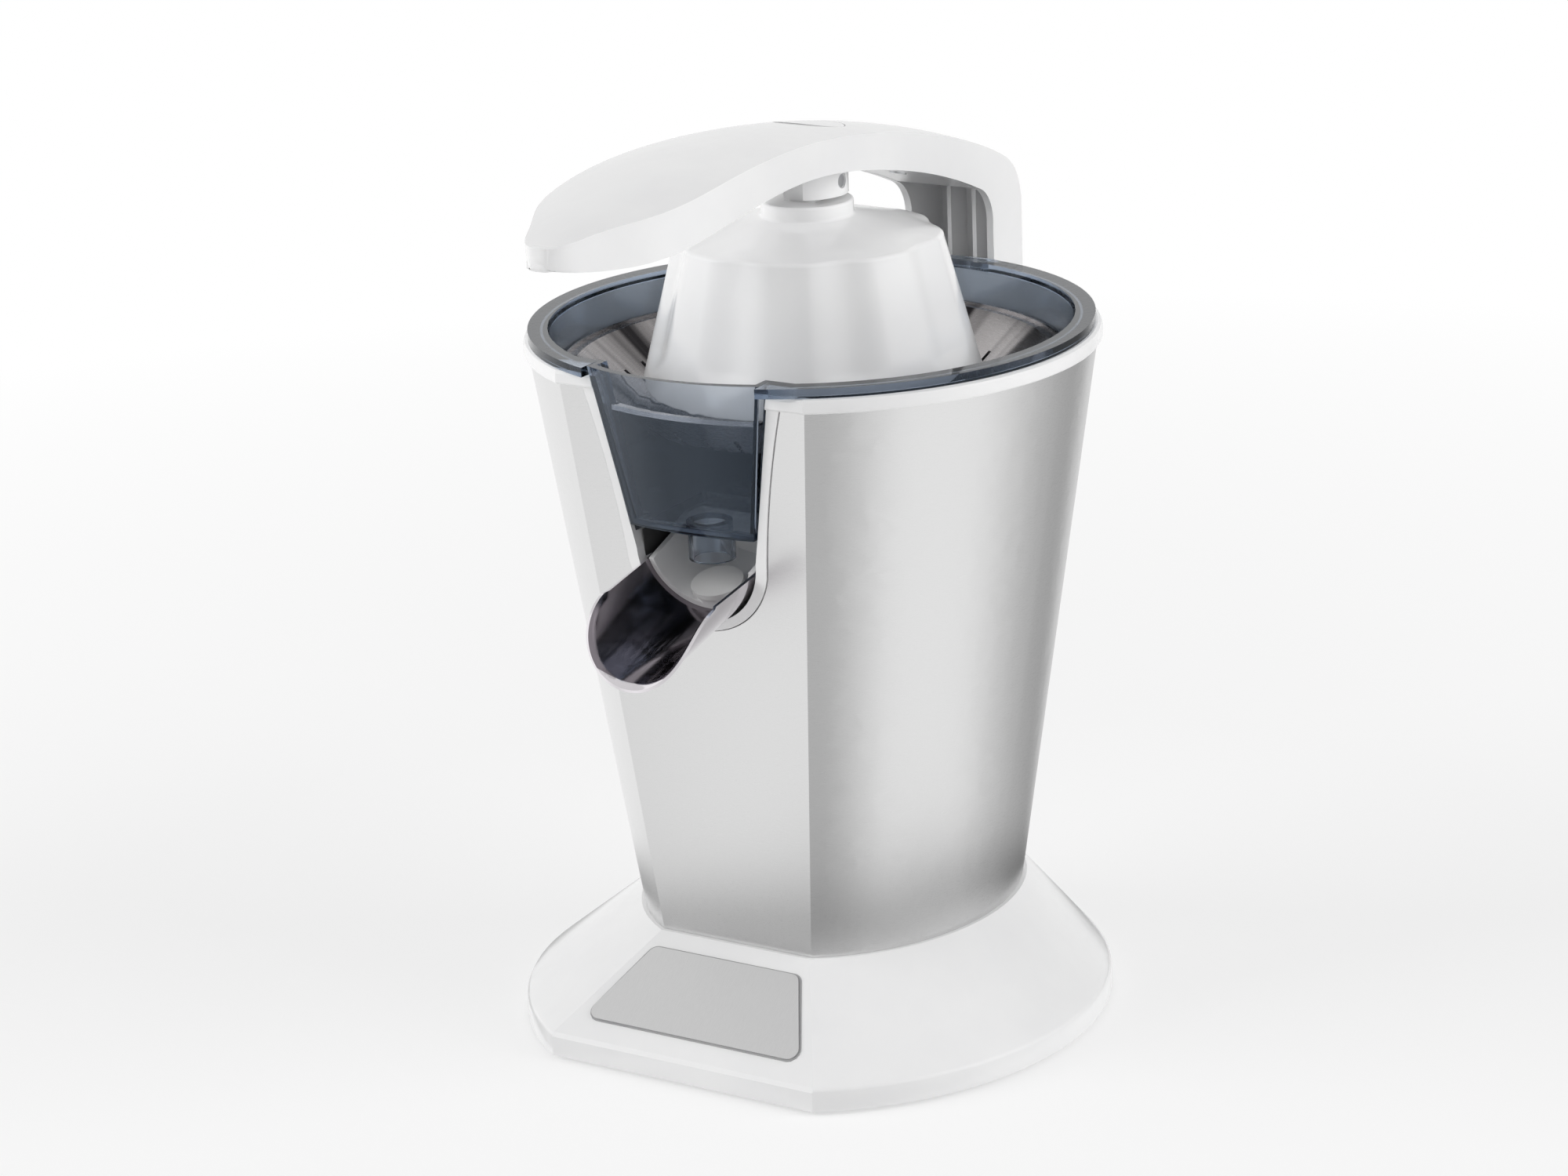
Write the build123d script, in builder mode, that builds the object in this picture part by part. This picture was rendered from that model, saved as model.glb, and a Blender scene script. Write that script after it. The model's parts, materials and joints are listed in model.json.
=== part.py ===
from build123d import *
import os
from math import acos, cos, degrees, pi, radians, sin, sqrt, tan

# Citrus press juicer with a lever arm.
# Frame: +X to the right of someone facing the spout, +Y back, +Z up, millimetres.
# The origin is on the drive axis, on the worktop.

os.makedirs("parts", exist_ok=True)

# ---------------------------------------------------------------- driving dimensions
# Oval sections cut flat in front: half width, half depth, middle y, y of the flat.
BASE_RIM = (100.0, 105.1, -9.8, -100.1)
BASE_CHIN = (99.1, 104.2, -9.8, -99.1)
BASE_NECK = (64.4, 74.0, 2.4, -63.5)
TOWER_FOOT = (63.1, 72.6, 2.4, -62.0)
TOWER_HEAD = (95.4, 94.1, 0.5, -81.7)

FOOT_PROUD = 1.2
BASE_BAND_Z = 8.0
BASE_CHIN_Z = 9.5
TOWER_FOOT_Z = 37.3
TOWER_HEAD_Z = 232.0
RIM_SEAT_Z = 237.0
RIM_TOP_Z = 240.2
SHELL_WALL = 2.6
STEEL = 0.8
SHEET_GAP = 0.15

# Bowl and what sits in it.
BOWL_RIM_R = 94.7
BOWL_TOP_R = 89.6
BOWL_FLOOR_R = 79.0
BOWL_FLOOR_Z = 186.0
BOWL_WALL = 2.3
WINDOW_TOP = 32.4
WINDOW_LOW = 23.6
STRAINER_RIM_R = 84.3
STRAINER_RIM_Z = 225.5
STRAINER_KNEE = (62.0, 210.0)
STRAINER_FLOOR_R = 40.0
STRAINER_FLOOR_Z = 203.0

# Nozzle and spout.
NOZZLE_Y = -66.5
NOZZLE_R = 7.75
NOZZLE_TIP_Z = 174.5
SPOUT_R = 20.5
SPOUT_SLOPE = 15.0
SPOUT_MOUTH = (0, -75.0, 177.7)
SPOUT_PIVOT = (-40.0, 172.0)
SPOUT_TILT = 18.0
BAY_HALF = 22.8

# Lever arm.
HINGE_Y = 105.8
HINGE_Z = 213.0
HINGE_PIN_R = 3.0
POST_R = 11.4
ARM_WALL = 2.6

# Press cup and reamer.
CUP_RIM_R = 57.4
CUP_MOUTH_R = 54.1
CUP_RIM_Z = 219.0
CUP_PIN_Z = 287.0
CUP_FLUTES = 8
REAMER_R = 36.0
REAMER_BASE_Z = 210.0
REAMER_TIP_Z = 258.0
REAMER_RIBS = 10

# Drive.
SHAFT_R = 4.0
RUNNING = 0.05
OUTPUT_TEETH = 36
OUTPUT_MODULE = 1.25
IDLER_TEETH = 36
IDLER_MODULE = 1.0
PINION_TEETH = 12
DECK_Z = 112.0
IDLER_XY = (0.0, 30.0)
MOTOR_XY = (-12.0, 50.785)
LEG_XY = [(42, -38), (42, 38), (-42, -38), (-42, 38)]


# ---------------------------------------------------------------- shared shapes
def oval(half_w, half_d, mid_y, flat_y):
    """An ellipse cut flat in front, drawn in the open sketch."""
    with Locations((0, mid_y)):
        Ellipse(half_w, half_d)
    with Locations((0, flat_y)):
        Rectangle(3 * half_w, half_d, align=(Align.CENTER, Align.MAX), mode=Mode.SUBTRACT)


def inset(section, amount):
    """The same section, its outline moved in by amount."""
    half_w, half_d, mid_y, flat_y = section
    return half_w - amount, half_d - amount, mid_y, flat_y + amount


def tower(z):
    """The steel sleeve's outer section at height z."""
    share = (z - TOWER_FOOT_Z) / (TOWER_HEAD_Z - TOWER_FOOT_Z)
    return tuple(a + (b - a) * share for a, b in zip(TOWER_FOOT, TOWER_HEAD))


def oval_stack(levels):
    """A solid through oval sections, given as (z, section), straight between them."""
    low_z, high_z = levels[0][0], levels[-1][0]
    front_edge = [(section[3], z) for z, section in levels]
    with BuildPart() as stack:
        for z, (half_w, half_d, mid_y, _) in levels:
            with BuildSketch(Plane.XY.offset(z)):
                with Locations((0, mid_y)):
                    Ellipse(half_w, half_d)
        loft(ruled=True)
        with BuildSketch(Plane.YZ):
            Polygon((-300, low_z), *front_edge, (-300, high_z), align=None)
        extrude(amount=200, both=True, mode=Mode.SUBTRACT)
    return stack.part


def tower_block(low_z, high_z, amount):
    """The tower's shape between two heights, moved in by amount."""
    return oval_stack([(z, inset(tower(z), amount)) for z in (low_z, high_z)])


def gear_outline(teeth, module, tooth_angle):
    """Points of a spur gear, one tooth centred at tooth_angle degrees."""
    pressure = radians(20)
    pitch_r = teeth * module / 2
    base_r = pitch_r * cos(pressure)
    root_r = pitch_r - 1.25 * module
    tip_r = pitch_r + 0.85 * module
    backlash = 0.12
    half_at_pitch = pi / (2 * teeth) - backlash / pitch_r
    flank = []
    for r in (root_r, max(base_r, root_r + 0.01), pitch_r, tip_r):
        turn = acos(min(1.0, base_r / max(r, base_r)))
        flank.append((r, half_at_pitch + (tan(pressure) - pressure) - (tan(turn) - turn)))
    points = []
    for tooth in range(teeth):
        middle = radians(tooth_angle) + 2 * pi * tooth / teeth
        for r, half in flank:
            points.append((r * cos(middle - half), r * sin(middle - half)))
        for r, half in reversed(flank):
            points.append((r * cos(middle + half), r * sin(middle + half)))
    return points


def screw(shank_r, length, head_r, head_h):
    """A pan-head screw, head down at z = 0, shank upwards, in the open part."""
    Cylinder(head_r, head_h, align=(Align.CENTER, Align.CENTER, Align.MIN))
    Cylinder(shank_r, length, align=(Align.CENTER, Align.CENTER, Align.MIN))


BOTTOM = (Align.CENTER, Align.CENTER, Align.MIN)

# ---------------------------------------------------------------- base
base_outer = oval_stack(
    [
        (FOOT_PROUD, BASE_RIM),
        (BASE_BAND_Z, BASE_RIM),
        (BASE_CHIN_Z, BASE_CHIN),
        (TOWER_FOOT_Z, BASE_NECK),
    ]
)
base_inner = oval_stack(
    [
        (FOOT_PROUD, inset(BASE_RIM, SHELL_WALL)),
        (BASE_BAND_Z, inset(BASE_RIM, SHELL_WALL)),
        (TOWER_FOOT_Z, inset(BASE_NECK, SHELL_WALL + 1.6)),
    ]
)
SPIGOT_TOP_Z = 45.0
BOSS_XY = [(62, -45), (62, 35), (-62, -45), (-62, 35)]
GLAND_Z = 18.0
GLAND_NECK_R = 5.5

with BuildPart() as base_cavity:
    add(base_inner)
    with Locations(*[(x, y, FOOT_PROUD) for x, y in BOSS_XY]):
        Cylinder(4.5, 40, align=BOTTOM, mode=Mode.SUBTRACT)
    with BuildSketch(Plane.XY.offset(FOOT_PROUD)):
        with Locations(*BOSS_XY):
            Circle(4.5)
    extrude(amount=3.0)

with BuildPart() as base_shell:
    add(base_outer)
    add(tower_block(TOWER_FOOT_Z, SPIGOT_TOP_Z, STEEL + SHEET_GAP))
    add(base_cavity.part, mode=Mode.SUBTRACT)
    add(tower_block(TOWER_FOOT_Z, SPIGOT_TOP_Z, STEEL + SHEET_GAP + SHELL_WALL), mode=Mode.SUBTRACT)
    with Locations(*[(x, y, FOOT_PROUD) for x, y in BOSS_XY]):
        Cylinder(1.5, 14, align=BOTTOM, mode=Mode.SUBTRACT)
    with BuildSketch(Plane.XZ.offset(-110)):
        with Locations((0, GLAND_Z)):
            Circle(GLAND_NECK_R)
    extrude(amount=45, mode=Mode.SUBTRACT)
base_shell.part.label = "base_shell"
export_step(base_shell.part, "parts/base_shell.step")

COVER_TOP_Z = 4.2
RING_SEAT_Z = 2.7
FOOT_OUTER = inset(BASE_RIM, 6.0)
FOOT_INNER = inset(BASE_RIM, 15.0)
with BuildPart() as base_cover:
    with BuildSketch(Plane.XY.offset(FOOT_PROUD)):
        oval(*inset(BASE_RIM, SHELL_WALL + 0.3))
    extrude(amount=COVER_TOP_Z - FOOT_PROUD)
    with BuildSketch(Plane.XY.offset(FOOT_PROUD)):
        oval(*FOOT_OUTER)
    extrude(amount=RING_SEAT_Z - FOOT_PROUD, mode=Mode.SUBTRACT)
    with BuildSketch(Plane.XY.offset(FOOT_PROUD)):
        oval(*FOOT_INNER)
    extrude(amount=RING_SEAT_Z - FOOT_PROUD)
    with Locations(*[(x, y, FOOT_PROUD) for x, y in BOSS_XY + LEG_XY]):
        Cylinder(4.2, 1.6, align=BOTTOM, mode=Mode.SUBTRACT)
        Cylinder(1.7, 5, align=BOTTOM, mode=Mode.SUBTRACT)
    with Locations((0, -10, 0)):
        with GridLocations(0, 9, 1, 7):
            Box(44, 3, 12, mode=Mode.SUBTRACT)
base_cover.part.label = "base_cover"
export_step(base_cover.part, "parts/base_cover.step")

with BuildPart() as foot_ring:
    with BuildSketch():
        oval(*inset(FOOT_OUTER, 0.1))
    extrude(amount=RING_SEAT_Z)
    with BuildSketch():
        oval(*inset(FOOT_INNER, -0.1))
    extrude(amount=RING_SEAT_Z, mode=Mode.SUBTRACT)
foot_ring.part.label = "foot_ring"
export_step(foot_ring.part, "parts/foot_ring.step")

with BuildPart() as base_screws:
    with Locations(*[(x, y, FOOT_PROUD + 0.1) for x, y in BOSS_XY + LEG_XY]):
        screw(1.45, 12, 3.4, 1.5)
base_screws.part.label = "base_screws"
export_step(base_screws.part, "parts/base_screws.step")

with BuildPart() as cord_gland:
    with BuildSketch(Plane.XZ.offset(-94.0)):
        with Locations((0, GLAND_Z)):
            Circle(7.4)
    extrude(amount=12)
    add(base_outer, mode=Mode.SUBTRACT)
    with BuildSketch(Plane.XZ.offset(-92.0)):
        with Locations((0, GLAND_Z)):
            Circle(GLAND_NECK_R)
    extrude(amount=14)
    with BuildSketch(Plane.XZ.offset(-96.0)):
        with Locations((0, GLAND_Z)):
            Circle(3.4)
    extrude(amount=25, mode=Mode.SUBTRACT)
cord_gland.part.label = "cord_gland"
export_step(cord_gland.part, "parts/cord_gland.step")

# The plate lies on the base's front slope.
SLOPE_RUN = BASE_NECK[3] - BASE_CHIN[3]
SLOPE_RISE = TOWER_FOOT_Z - BASE_CHIN_Z
SLOPE_LENGTH = sqrt(SLOPE_RUN**2 + SLOPE_RISE**2)
PLATE_Y = -81.0
plate_plane = Plane(
    origin=(0, PLATE_Y, BASE_CHIN_Z + (PLATE_Y - BASE_CHIN[3]) * SLOPE_RISE / SLOPE_RUN),
    x_dir=(1, 0, 0),
    z_dir=(0, -SLOPE_RISE / SLOPE_LENGTH, SLOPE_RUN / SLOPE_LENGTH),
)
with BuildPart() as front_plate:
    with BuildSketch(plate_plane) as plate_outline:
        Polygon((-42.5, -15.3), (42.5, -15.3), (28.5, 15.3), (-28.5, 15.3), align=None)
        fillet(plate_outline.vertices(), 3.5)
    extrude(amount=0.9)
front_plate.part.label = "front_plate"
export_step(front_plate.part, "parts/front_plate.step")

# ---------------------------------------------------------------- tower sleeve and top frame
# The notch in the front: a round bottom and sides that flare upwards.
NOTCH_TURN_Z = 173.0
NOTCH_BOTTOM_Z = 151.5


def notch_prism(shrink):
    """A bar along Y with the notch's outline, its cut edge moved in by shrink."""
    turn = 26.7 - shrink
    top = 37.5 - shrink
    with BuildPart() as prism:
        with BuildSketch(Plane.XZ.offset(20)):
            with BuildLine():
                ThreePointArc(
                    (-turn, NOTCH_TURN_Z), (0, NOTCH_BOTTOM_Z + shrink), (turn, NOTCH_TURN_Z)
                )
                ThreePointArc((turn, NOTCH_TURN_Z), (30.4 - shrink, 201), (top, TOWER_HEAD_Z))
                Polyline((top, TOWER_HEAD_Z), (top, 250), (-top, 250), (-top, TOWER_HEAD_Z))
                ThreePointArc((-top, TOWER_HEAD_Z), (shrink - 30.4, 201), (-turn, NOTCH_TURN_Z))
            make_face()
        extrude(amount=90)
    return prism.part


SLEEVE_TOP_Z = TOWER_HEAD_Z - 0.2
HINGE_SCREW_XZ = [(22, 190), (22, 206), (-22, 190), (-22, 206)]
with BuildPart() as steel_sleeve:
    add(tower_block(TOWER_FOOT_Z, SLEEVE_TOP_Z, 0))
    add(tower_block(TOWER_FOOT_Z - 5, TOWER_HEAD_Z + 5, STEEL), mode=Mode.SUBTRACT)
    add(notch_prism(0), mode=Mode.SUBTRACT)
    with BuildSketch(Plane.XZ.offset(-70)):
        with Locations(*HINGE_SCREW_XZ):
            Circle(1.6)
    extrude(amount=-40, mode=Mode.SUBTRACT)
steel_sleeve.part.label = "steel_sleeve"
export_step(steel_sleeve.part, "parts/steel_sleeve.step")

# The top frame is one moulding: ring, spigot, bowl well, deck, notch frame and spout bay.
DECK_LOW_Z = 180.0
DECK_TOP_Z = 183.0
SPIGOT_LOW_Z = 222.0
WELL_GAP = 0.9
WELL_WALL = 2.2
WELL_FLAT_INSET = 1.6
BOWL_FLAT_INSET = 2.5
RING_STEPS = [(232.0, 1.2), (232.6, 1.6), (235.4, 1.6), (236.5, 1.1), (RIM_SEAT_Z, 0.0)]
INSIDE = STEEL + SHEET_GAP
BAY_FLOOR_Z = 150.5
BAY_REAR_Y = -31.0
BAY_WALL = 2.5
ARCH_Z = 177.6
POST_SLOT_HALF = 18.4
TRUNNION_R = 2.6


def cone(low_z, low_r, high_z, high_r):
    """A solid cone frustum on the drive axis."""
    with BuildPart() as frustum:
        with BuildSketch(Plane.XY.offset(low_z)):
            Circle(low_r)
        with BuildSketch(Plane.XY.offset(high_z)):
            Circle(high_r)
        loft(ruled=True)
    return frustum.part


def bowl_cone(low_z, high_z, growth):
    """The bowl's conical side between two heights, moved out by growth."""
    slope = (BOWL_TOP_R - BOWL_FLOOR_R) / (RIM_SEAT_Z - BOWL_FLOOR_Z)
    low_r, high_r = [BOWL_FLOOR_R + slope * (z - BOWL_FLOOR_Z) + growth for z in (low_z, high_z)]
    return cone(low_z, low_r, high_z, high_r)


def opening_prism(grow, rear_y, top_z):
    """A bar along Y with the outline of the opening inside the notch frame."""
    arch_r = BAY_HALF + grow
    shoulder = (24.4 + grow, BOWL_FLOOR_Z)
    head = (34.4 + grow, 242.0)
    with BuildPart() as prism:
        with BuildSketch(Plane.XZ.offset(-rear_y)):
            with BuildLine():
                ThreePointArc((-arch_r, ARCH_Z), (0, ARCH_Z - arch_r), (arch_r, ARCH_Z))
                Polyline((arch_r, ARCH_Z), shoulder, head)
                Line(head, (-head[0], head[1]))
                Polyline((-head[0], head[1]), (-shoulder[0], shoulder[1]), (-arch_r, ARCH_Z))
            make_face()
        extrude(amount=110 + rear_y)
        with Locations((0, -80, top_z)):
            Box(200, 200, 200, align=BOTTOM, mode=Mode.SUBTRACT)
    return prism.part


with BuildPart() as well_void:
    add(bowl_cone(DECK_TOP_Z, 245, WELL_GAP))
    add(tower_block(DECK_TOP_Z, 245, WELL_FLAT_INSET), mode=Mode.INTERSECT)

with BuildPart() as round_void:
    add(tower_block(DECK_TOP_Z, SPIGOT_LOW_Z, 0))
    add(bowl_cone(DECK_TOP_Z - 1, SPIGOT_LOW_Z + 1, WELL_GAP + WELL_WALL), mode=Mode.SUBTRACT)

with BuildPart() as bay_walls:
    add(opening_prism(BAY_WALL, BAY_REAR_Y + BAY_WALL, DECK_LOW_Z + 1))
    add(tower_block(BAY_FLOOR_Z - 2, DECK_LOW_Z + 2, INSIDE), mode=Mode.INTERSECT)

with BuildPart() as notch_lip:
    add(notch_prism(0.25))
    with Locations((0, -66, 0)):
        Box(100, 100, 300, align=(Align.CENTER, Align.MIN, Align.MIN), mode=Mode.SUBTRACT)
    add(tower_block(BAY_FLOOR_Z - 2, TOWER_HEAD_Z, -0.4), mode=Mode.INTERSECT)

with BuildPart() as top_frame:
    add(oval_stack([(z, inset(TOWER_HEAD, -lip)) for z, lip in RING_STEPS]))
    add(tower_block(DECK_LOW_Z, TOWER_HEAD_Z, INSIDE))
    add(round_void.part, mode=Mode.SUBTRACT)
    add(notch_lip.part)
    add(bay_walls.part)
    add(well_void.part, mode=Mode.SUBTRACT)
    add(opening_prism(0, -60, 300), mode=Mode.SUBTRACT)
    add(opening_prism(0, BAY_REAR_Y, DECK_TOP_Z + 0.5), mode=Mode.SUBTRACT)
    with Locations((0, 0, DECK_LOW_Z - 1)):
        Cylinder(5.5, 10, align=BOTTOM, mode=Mode.SUBTRACT)
    with Locations((0, 92.8, SPIGOT_LOW_Z - 5)):
        Box(
            2 * POST_SLOT_HALF,
            20,
            40,
            align=(Align.CENTER, Align.MIN, Align.MIN),
            mode=Mode.SUBTRACT,
        )
    with Locations(Plane(origin=(0, *SPOUT_PIVOT), z_dir=(1, 0, 0))):
        Cylinder(TRUNNION_R + RUNNING, 60, mode=Mode.SUBTRACT)
    with Locations(*[(x, y, DECK_LOW_Z - 1) for x, y in LEG_XY]):
        Cylinder(1.6, 8, align=BOTTOM, mode=Mode.SUBTRACT)
top_frame.part.label = "top_frame"
export_step(top_frame.part, "parts/top_frame.step")

with BuildPart() as frame_screws:
    for x, y in LEG_XY:
        with Locations(Plane(origin=(x, y, DECK_TOP_Z + 1.6), z_dir=(0, 0, -1))):
            screw(1.45, 14, 3.0, 1.6)
frame_screws.part.label = "frame_screws"
export_step(frame_screws.part, "parts/frame_screws.step")

with BuildPart() as shaft_seal:
    with BuildSketch(Plane.XZ):
        Polygon(
            (5.2, DECK_TOP_Z - 2),
            (5.2, DECK_TOP_Z),
            (8.5, DECK_TOP_Z),
            (8.5, DECK_TOP_Z + 1.4),
            (SHAFT_R + 0.1, DECK_TOP_Z + 2.4),
            (SHAFT_R + 0.1, DECK_TOP_Z + 1.2),
            (4.6, DECK_TOP_Z - 2),
            align=None,
        )
    revolve(axis=Axis.Z)
shaft_seal.part.label = "shaft_seal"
export_step(shaft_seal.part, "parts/shaft_seal.step")

# ---------------------------------------------------------------- bowl and strainer
CHIMNEY_R = 9.2
CHIMNEY_TOP_Z = 207.0
NOZZLE_BORE = 6.2
RIM_FLAT_Y = 93.5


def window_block(shrink, low_z, front_back):
    """The window's box: trapezoid in front view, its front gently bowed."""
    rows = ((low_z, WINDOW_LOW, -78.2, -80.6, -55), (RIM_TOP_Z, WINDOW_TOP, -86.0, -92.3, -60))
    with BuildPart() as block:
        for z, half, corner_y, front_y, back_y in rows:
            half = half - shrink
            corner_y = corner_y + front_back
            front_y = front_y + front_back
            with BuildSketch(Plane.XY.offset(z)):
                with BuildLine():
                    ThreePointArc((-half, corner_y), (0, front_y), (half, corner_y))
                    Polyline((half, corner_y), (half, back_y), (-half, back_y), (-half, corner_y))
                make_face()
        loft(ruled=True)
    return block.part


with BuildPart() as bowl_outside:
    add(bowl_cone(BOWL_FLOOR_Z, RIM_TOP_Z, 0))
    fillet(bowl_outside.edges().filter_by(GeomType.CIRCLE).sort_by(Axis.Z)[0], 7)
    add(tower_block(BOWL_FLOOR_Z - 5, RIM_TOP_Z + 5, BOWL_FLAT_INSET), mode=Mode.INTERSECT)

LEDGE_R = 82.3
with BuildPart() as bowl_inside:
    add(bowl_cone(BOWL_FLOOR_Z + BOWL_WALL, RIM_TOP_Z + 1, -BOWL_WALL))
    fillet(bowl_inside.edges().filter_by(GeomType.CIRCLE).sort_by(Axis.Z)[0], 6)
    add(
        tower_block(BOWL_FLOOR_Z - 5, RIM_TOP_Z + 5, BOWL_FLAT_INSET + BOWL_WALL),
        mode=Mode.INTERSECT,
    )

with BuildPart() as strainer_ledge:
    with BuildSketch(Plane.XZ):
        Polygon(
            (LEDGE_R, STRAINER_RIM_Z),
            (LEDGE_R + 8, STRAINER_RIM_Z),
            (LEDGE_R + 8, STRAINER_RIM_Z - 14),
            (LEDGE_R, STRAINER_RIM_Z - 3),
            align=None,
        )
    revolve(axis=Axis.Z)
    add(bowl_outside.part, mode=Mode.INTERSECT)
    with Locations((0, -80, 200)):
        Box(80, 60, 60, mode=Mode.SUBTRACT)

with BuildPart() as bowl:
    with BuildSketch(Plane.XY.offset(RIM_SEAT_Z)):
        Circle(BOWL_RIM_R)
        with Locations((0, -80)):
            Rectangle(2 * WINDOW_TOP + 0.6, 40, mode=Mode.SUBTRACT)
        with Locations((0, RIM_FLAT_Y)):
            Rectangle(60, 10, align=(Align.CENTER, Align.MIN), mode=Mode.SUBTRACT)
    extrude(amount=RIM_TOP_Z - RIM_SEAT_Z)
    add(bowl_outside.part)
    add(window_block(0, BOWL_FLOOR_Z, 0))
    add(window_block(-2, BOWL_FLOOR_Z, 0).moved(Location((0, -50, 0))), mode=Mode.SUBTRACT)
    add(bowl_inside.part, mode=Mode.SUBTRACT)
    add(window_block(BOWL_WALL, BOWL_FLOOR_Z + BOWL_WALL, BOWL_WALL), mode=Mode.SUBTRACT)
    add(strainer_ledge.part)
    with Locations((0, 0, BOWL_FLOOR_Z)):
        Cylinder(CHIMNEY_R, CHIMNEY_TOP_Z - BOWL_FLOOR_Z, align=BOTTOM)
        Cylinder(7.0, 60, mode=Mode.SUBTRACT)
    with Locations((0, NOZZLE_Y, NOZZLE_TIP_Z)):
        Cylinder(NOZZLE_R, BOWL_FLOOR_Z - NOZZLE_TIP_Z + 0.5, align=BOTTOM)
        Cylinder(NOZZLE_BORE, 60, mode=Mode.SUBTRACT)
bowl.part.label = "bowl"
export_step(bowl.part, "parts/bowl.step")

STRAINER_HOLE_R = 15.0
STRAINER_LIP_R = 80.2
with BuildPart() as strainer:
    with BuildSketch(Plane.XZ):
        with BuildLine():
            Polyline(
                (STRAINER_HOLE_R, STRAINER_FLOOR_Z + 3),
                (STRAINER_HOLE_R, STRAINER_FLOOR_Z),
                (STRAINER_FLOOR_R, STRAINER_FLOOR_Z),
                STRAINER_KNEE,
                (STRAINER_LIP_R + 0.3, STRAINER_RIM_Z),
                (STRAINER_RIM_R, STRAINER_RIM_Z),
                (STRAINER_RIM_R, STRAINER_RIM_Z + 1.6),
                (STRAINER_RIM_R - STEEL, STRAINER_RIM_Z + 1.6),
                (STRAINER_RIM_R - STEEL, STRAINER_RIM_Z + STEEL),
                (STRAINER_LIP_R, STRAINER_RIM_Z + STEEL),
                (STRAINER_KNEE[0] - 0.4, STRAINER_KNEE[1] + STEEL),
                (STRAINER_FLOOR_R - 0.2, STRAINER_FLOOR_Z + STEEL),
                (STRAINER_HOLE_R + STEEL, STRAINER_FLOOR_Z + STEEL),
                (STRAINER_HOLE_R + STEEL, STRAINER_FLOOR_Z + 3),
                close=True,
            )
        make_face()
    revolve(axis=Axis.Z)
    # radial juice slots: one ring in the floor, one ring in the sloping side
    with BuildSketch(Plane.XY.offset(STRAINER_FLOOR_Z - 2)):
        with PolarLocations(30.5, 24):
            Rectangle(18, 1.6)
        with PolarLocations(60, 36):
            Rectangle(18, 1.6)
    extrude(amount=30, mode=Mode.SUBTRACT)
    # the rim is cut straight where the bowl is flat on each side of the window
    with Locations((0, -75.4, STRAINER_FLOOR_Z)):
        with GridLocations(2 * 46.6, 0, 2, 1):
            Box(40, 30, 40, align=(Align.CENTER, Align.MAX, Align.MIN), mode=Mode.SUBTRACT)
strainer.part.label = "strainer"
export_step(strainer.part, "parts/strainer.step")

# ---------------------------------------------------------------- spout with its drip stop
spout_across = (0, -cos(radians(SPOUT_SLOPE)), -sin(radians(SPOUT_SLOPE)))
spout_plane = Plane(origin=SPOUT_MOUTH, x_dir=spout_across, z_dir=(1, 0, 0))
spout_axis = Axis(SPOUT_MOUTH, spout_across)
pivot_plane = Plane(origin=(0, *SPOUT_PIVOT), z_dir=(1, 0, 0))
SPOUT_TIP_S = 54.0
SPOUT_SHEET = 1.0
TROUGH_WALL = 1.8
TROUGH_REAR_S = -34.0

with BuildPart() as spout:
    with BuildSketch(spout_plane):
        Polygon(
            (-16, SPOUT_R),
            (0, SPOUT_R),
            (SPOUT_TIP_S, SPOUT_R - 1.6),
            (SPOUT_TIP_S, SPOUT_R - 1.6 + SPOUT_SHEET),
            (0, SPOUT_R + SPOUT_SHEET),
            (-16, SPOUT_R + SPOUT_SHEET),
            align=None,
        )
    revolve(axis=spout_axis)
    with BuildSketch(Plane.YZ):
        with BuildLine():
            Polyline((-112, 161.2), (-50, 181.8), (-50, 210), (-140, 210), (-140, 140))
            Line((-140, 140), (-126.2, 140))
            ThreePointArc((-126.2, 140), (-121.5, 154.5), (-112, 161.2))
        make_face()
    extrude(amount=40, both=True, mode=Mode.SUBTRACT)
spout.part.label = "spout"
export_step(spout.part, "parts/spout.step")

# At rest the pad lies lower by the spout's tilt; tilted up it closes the nozzle.
tilt = radians(SPOUT_TILT)
closed_y = NOZZLE_Y - SPOUT_PIVOT[0]
closed_z = NOZZLE_TIP_Z - 0.3 - SPOUT_PIVOT[1]
PAD_TOP = (
    0,
    SPOUT_PIVOT[0] + closed_y * cos(tilt) + closed_z * sin(tilt),
    SPOUT_PIVOT[1] + closed_z * cos(tilt) + closed_y * sin(tilt),
)
pad_up = (0, -sin(tilt), cos(tilt))
pad_plane = Plane(origin=PAD_TOP, x_dir=(1, 0, 0), z_dir=pad_up)
PAD_R = 8.8
PAD_THICK = 1.8

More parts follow.
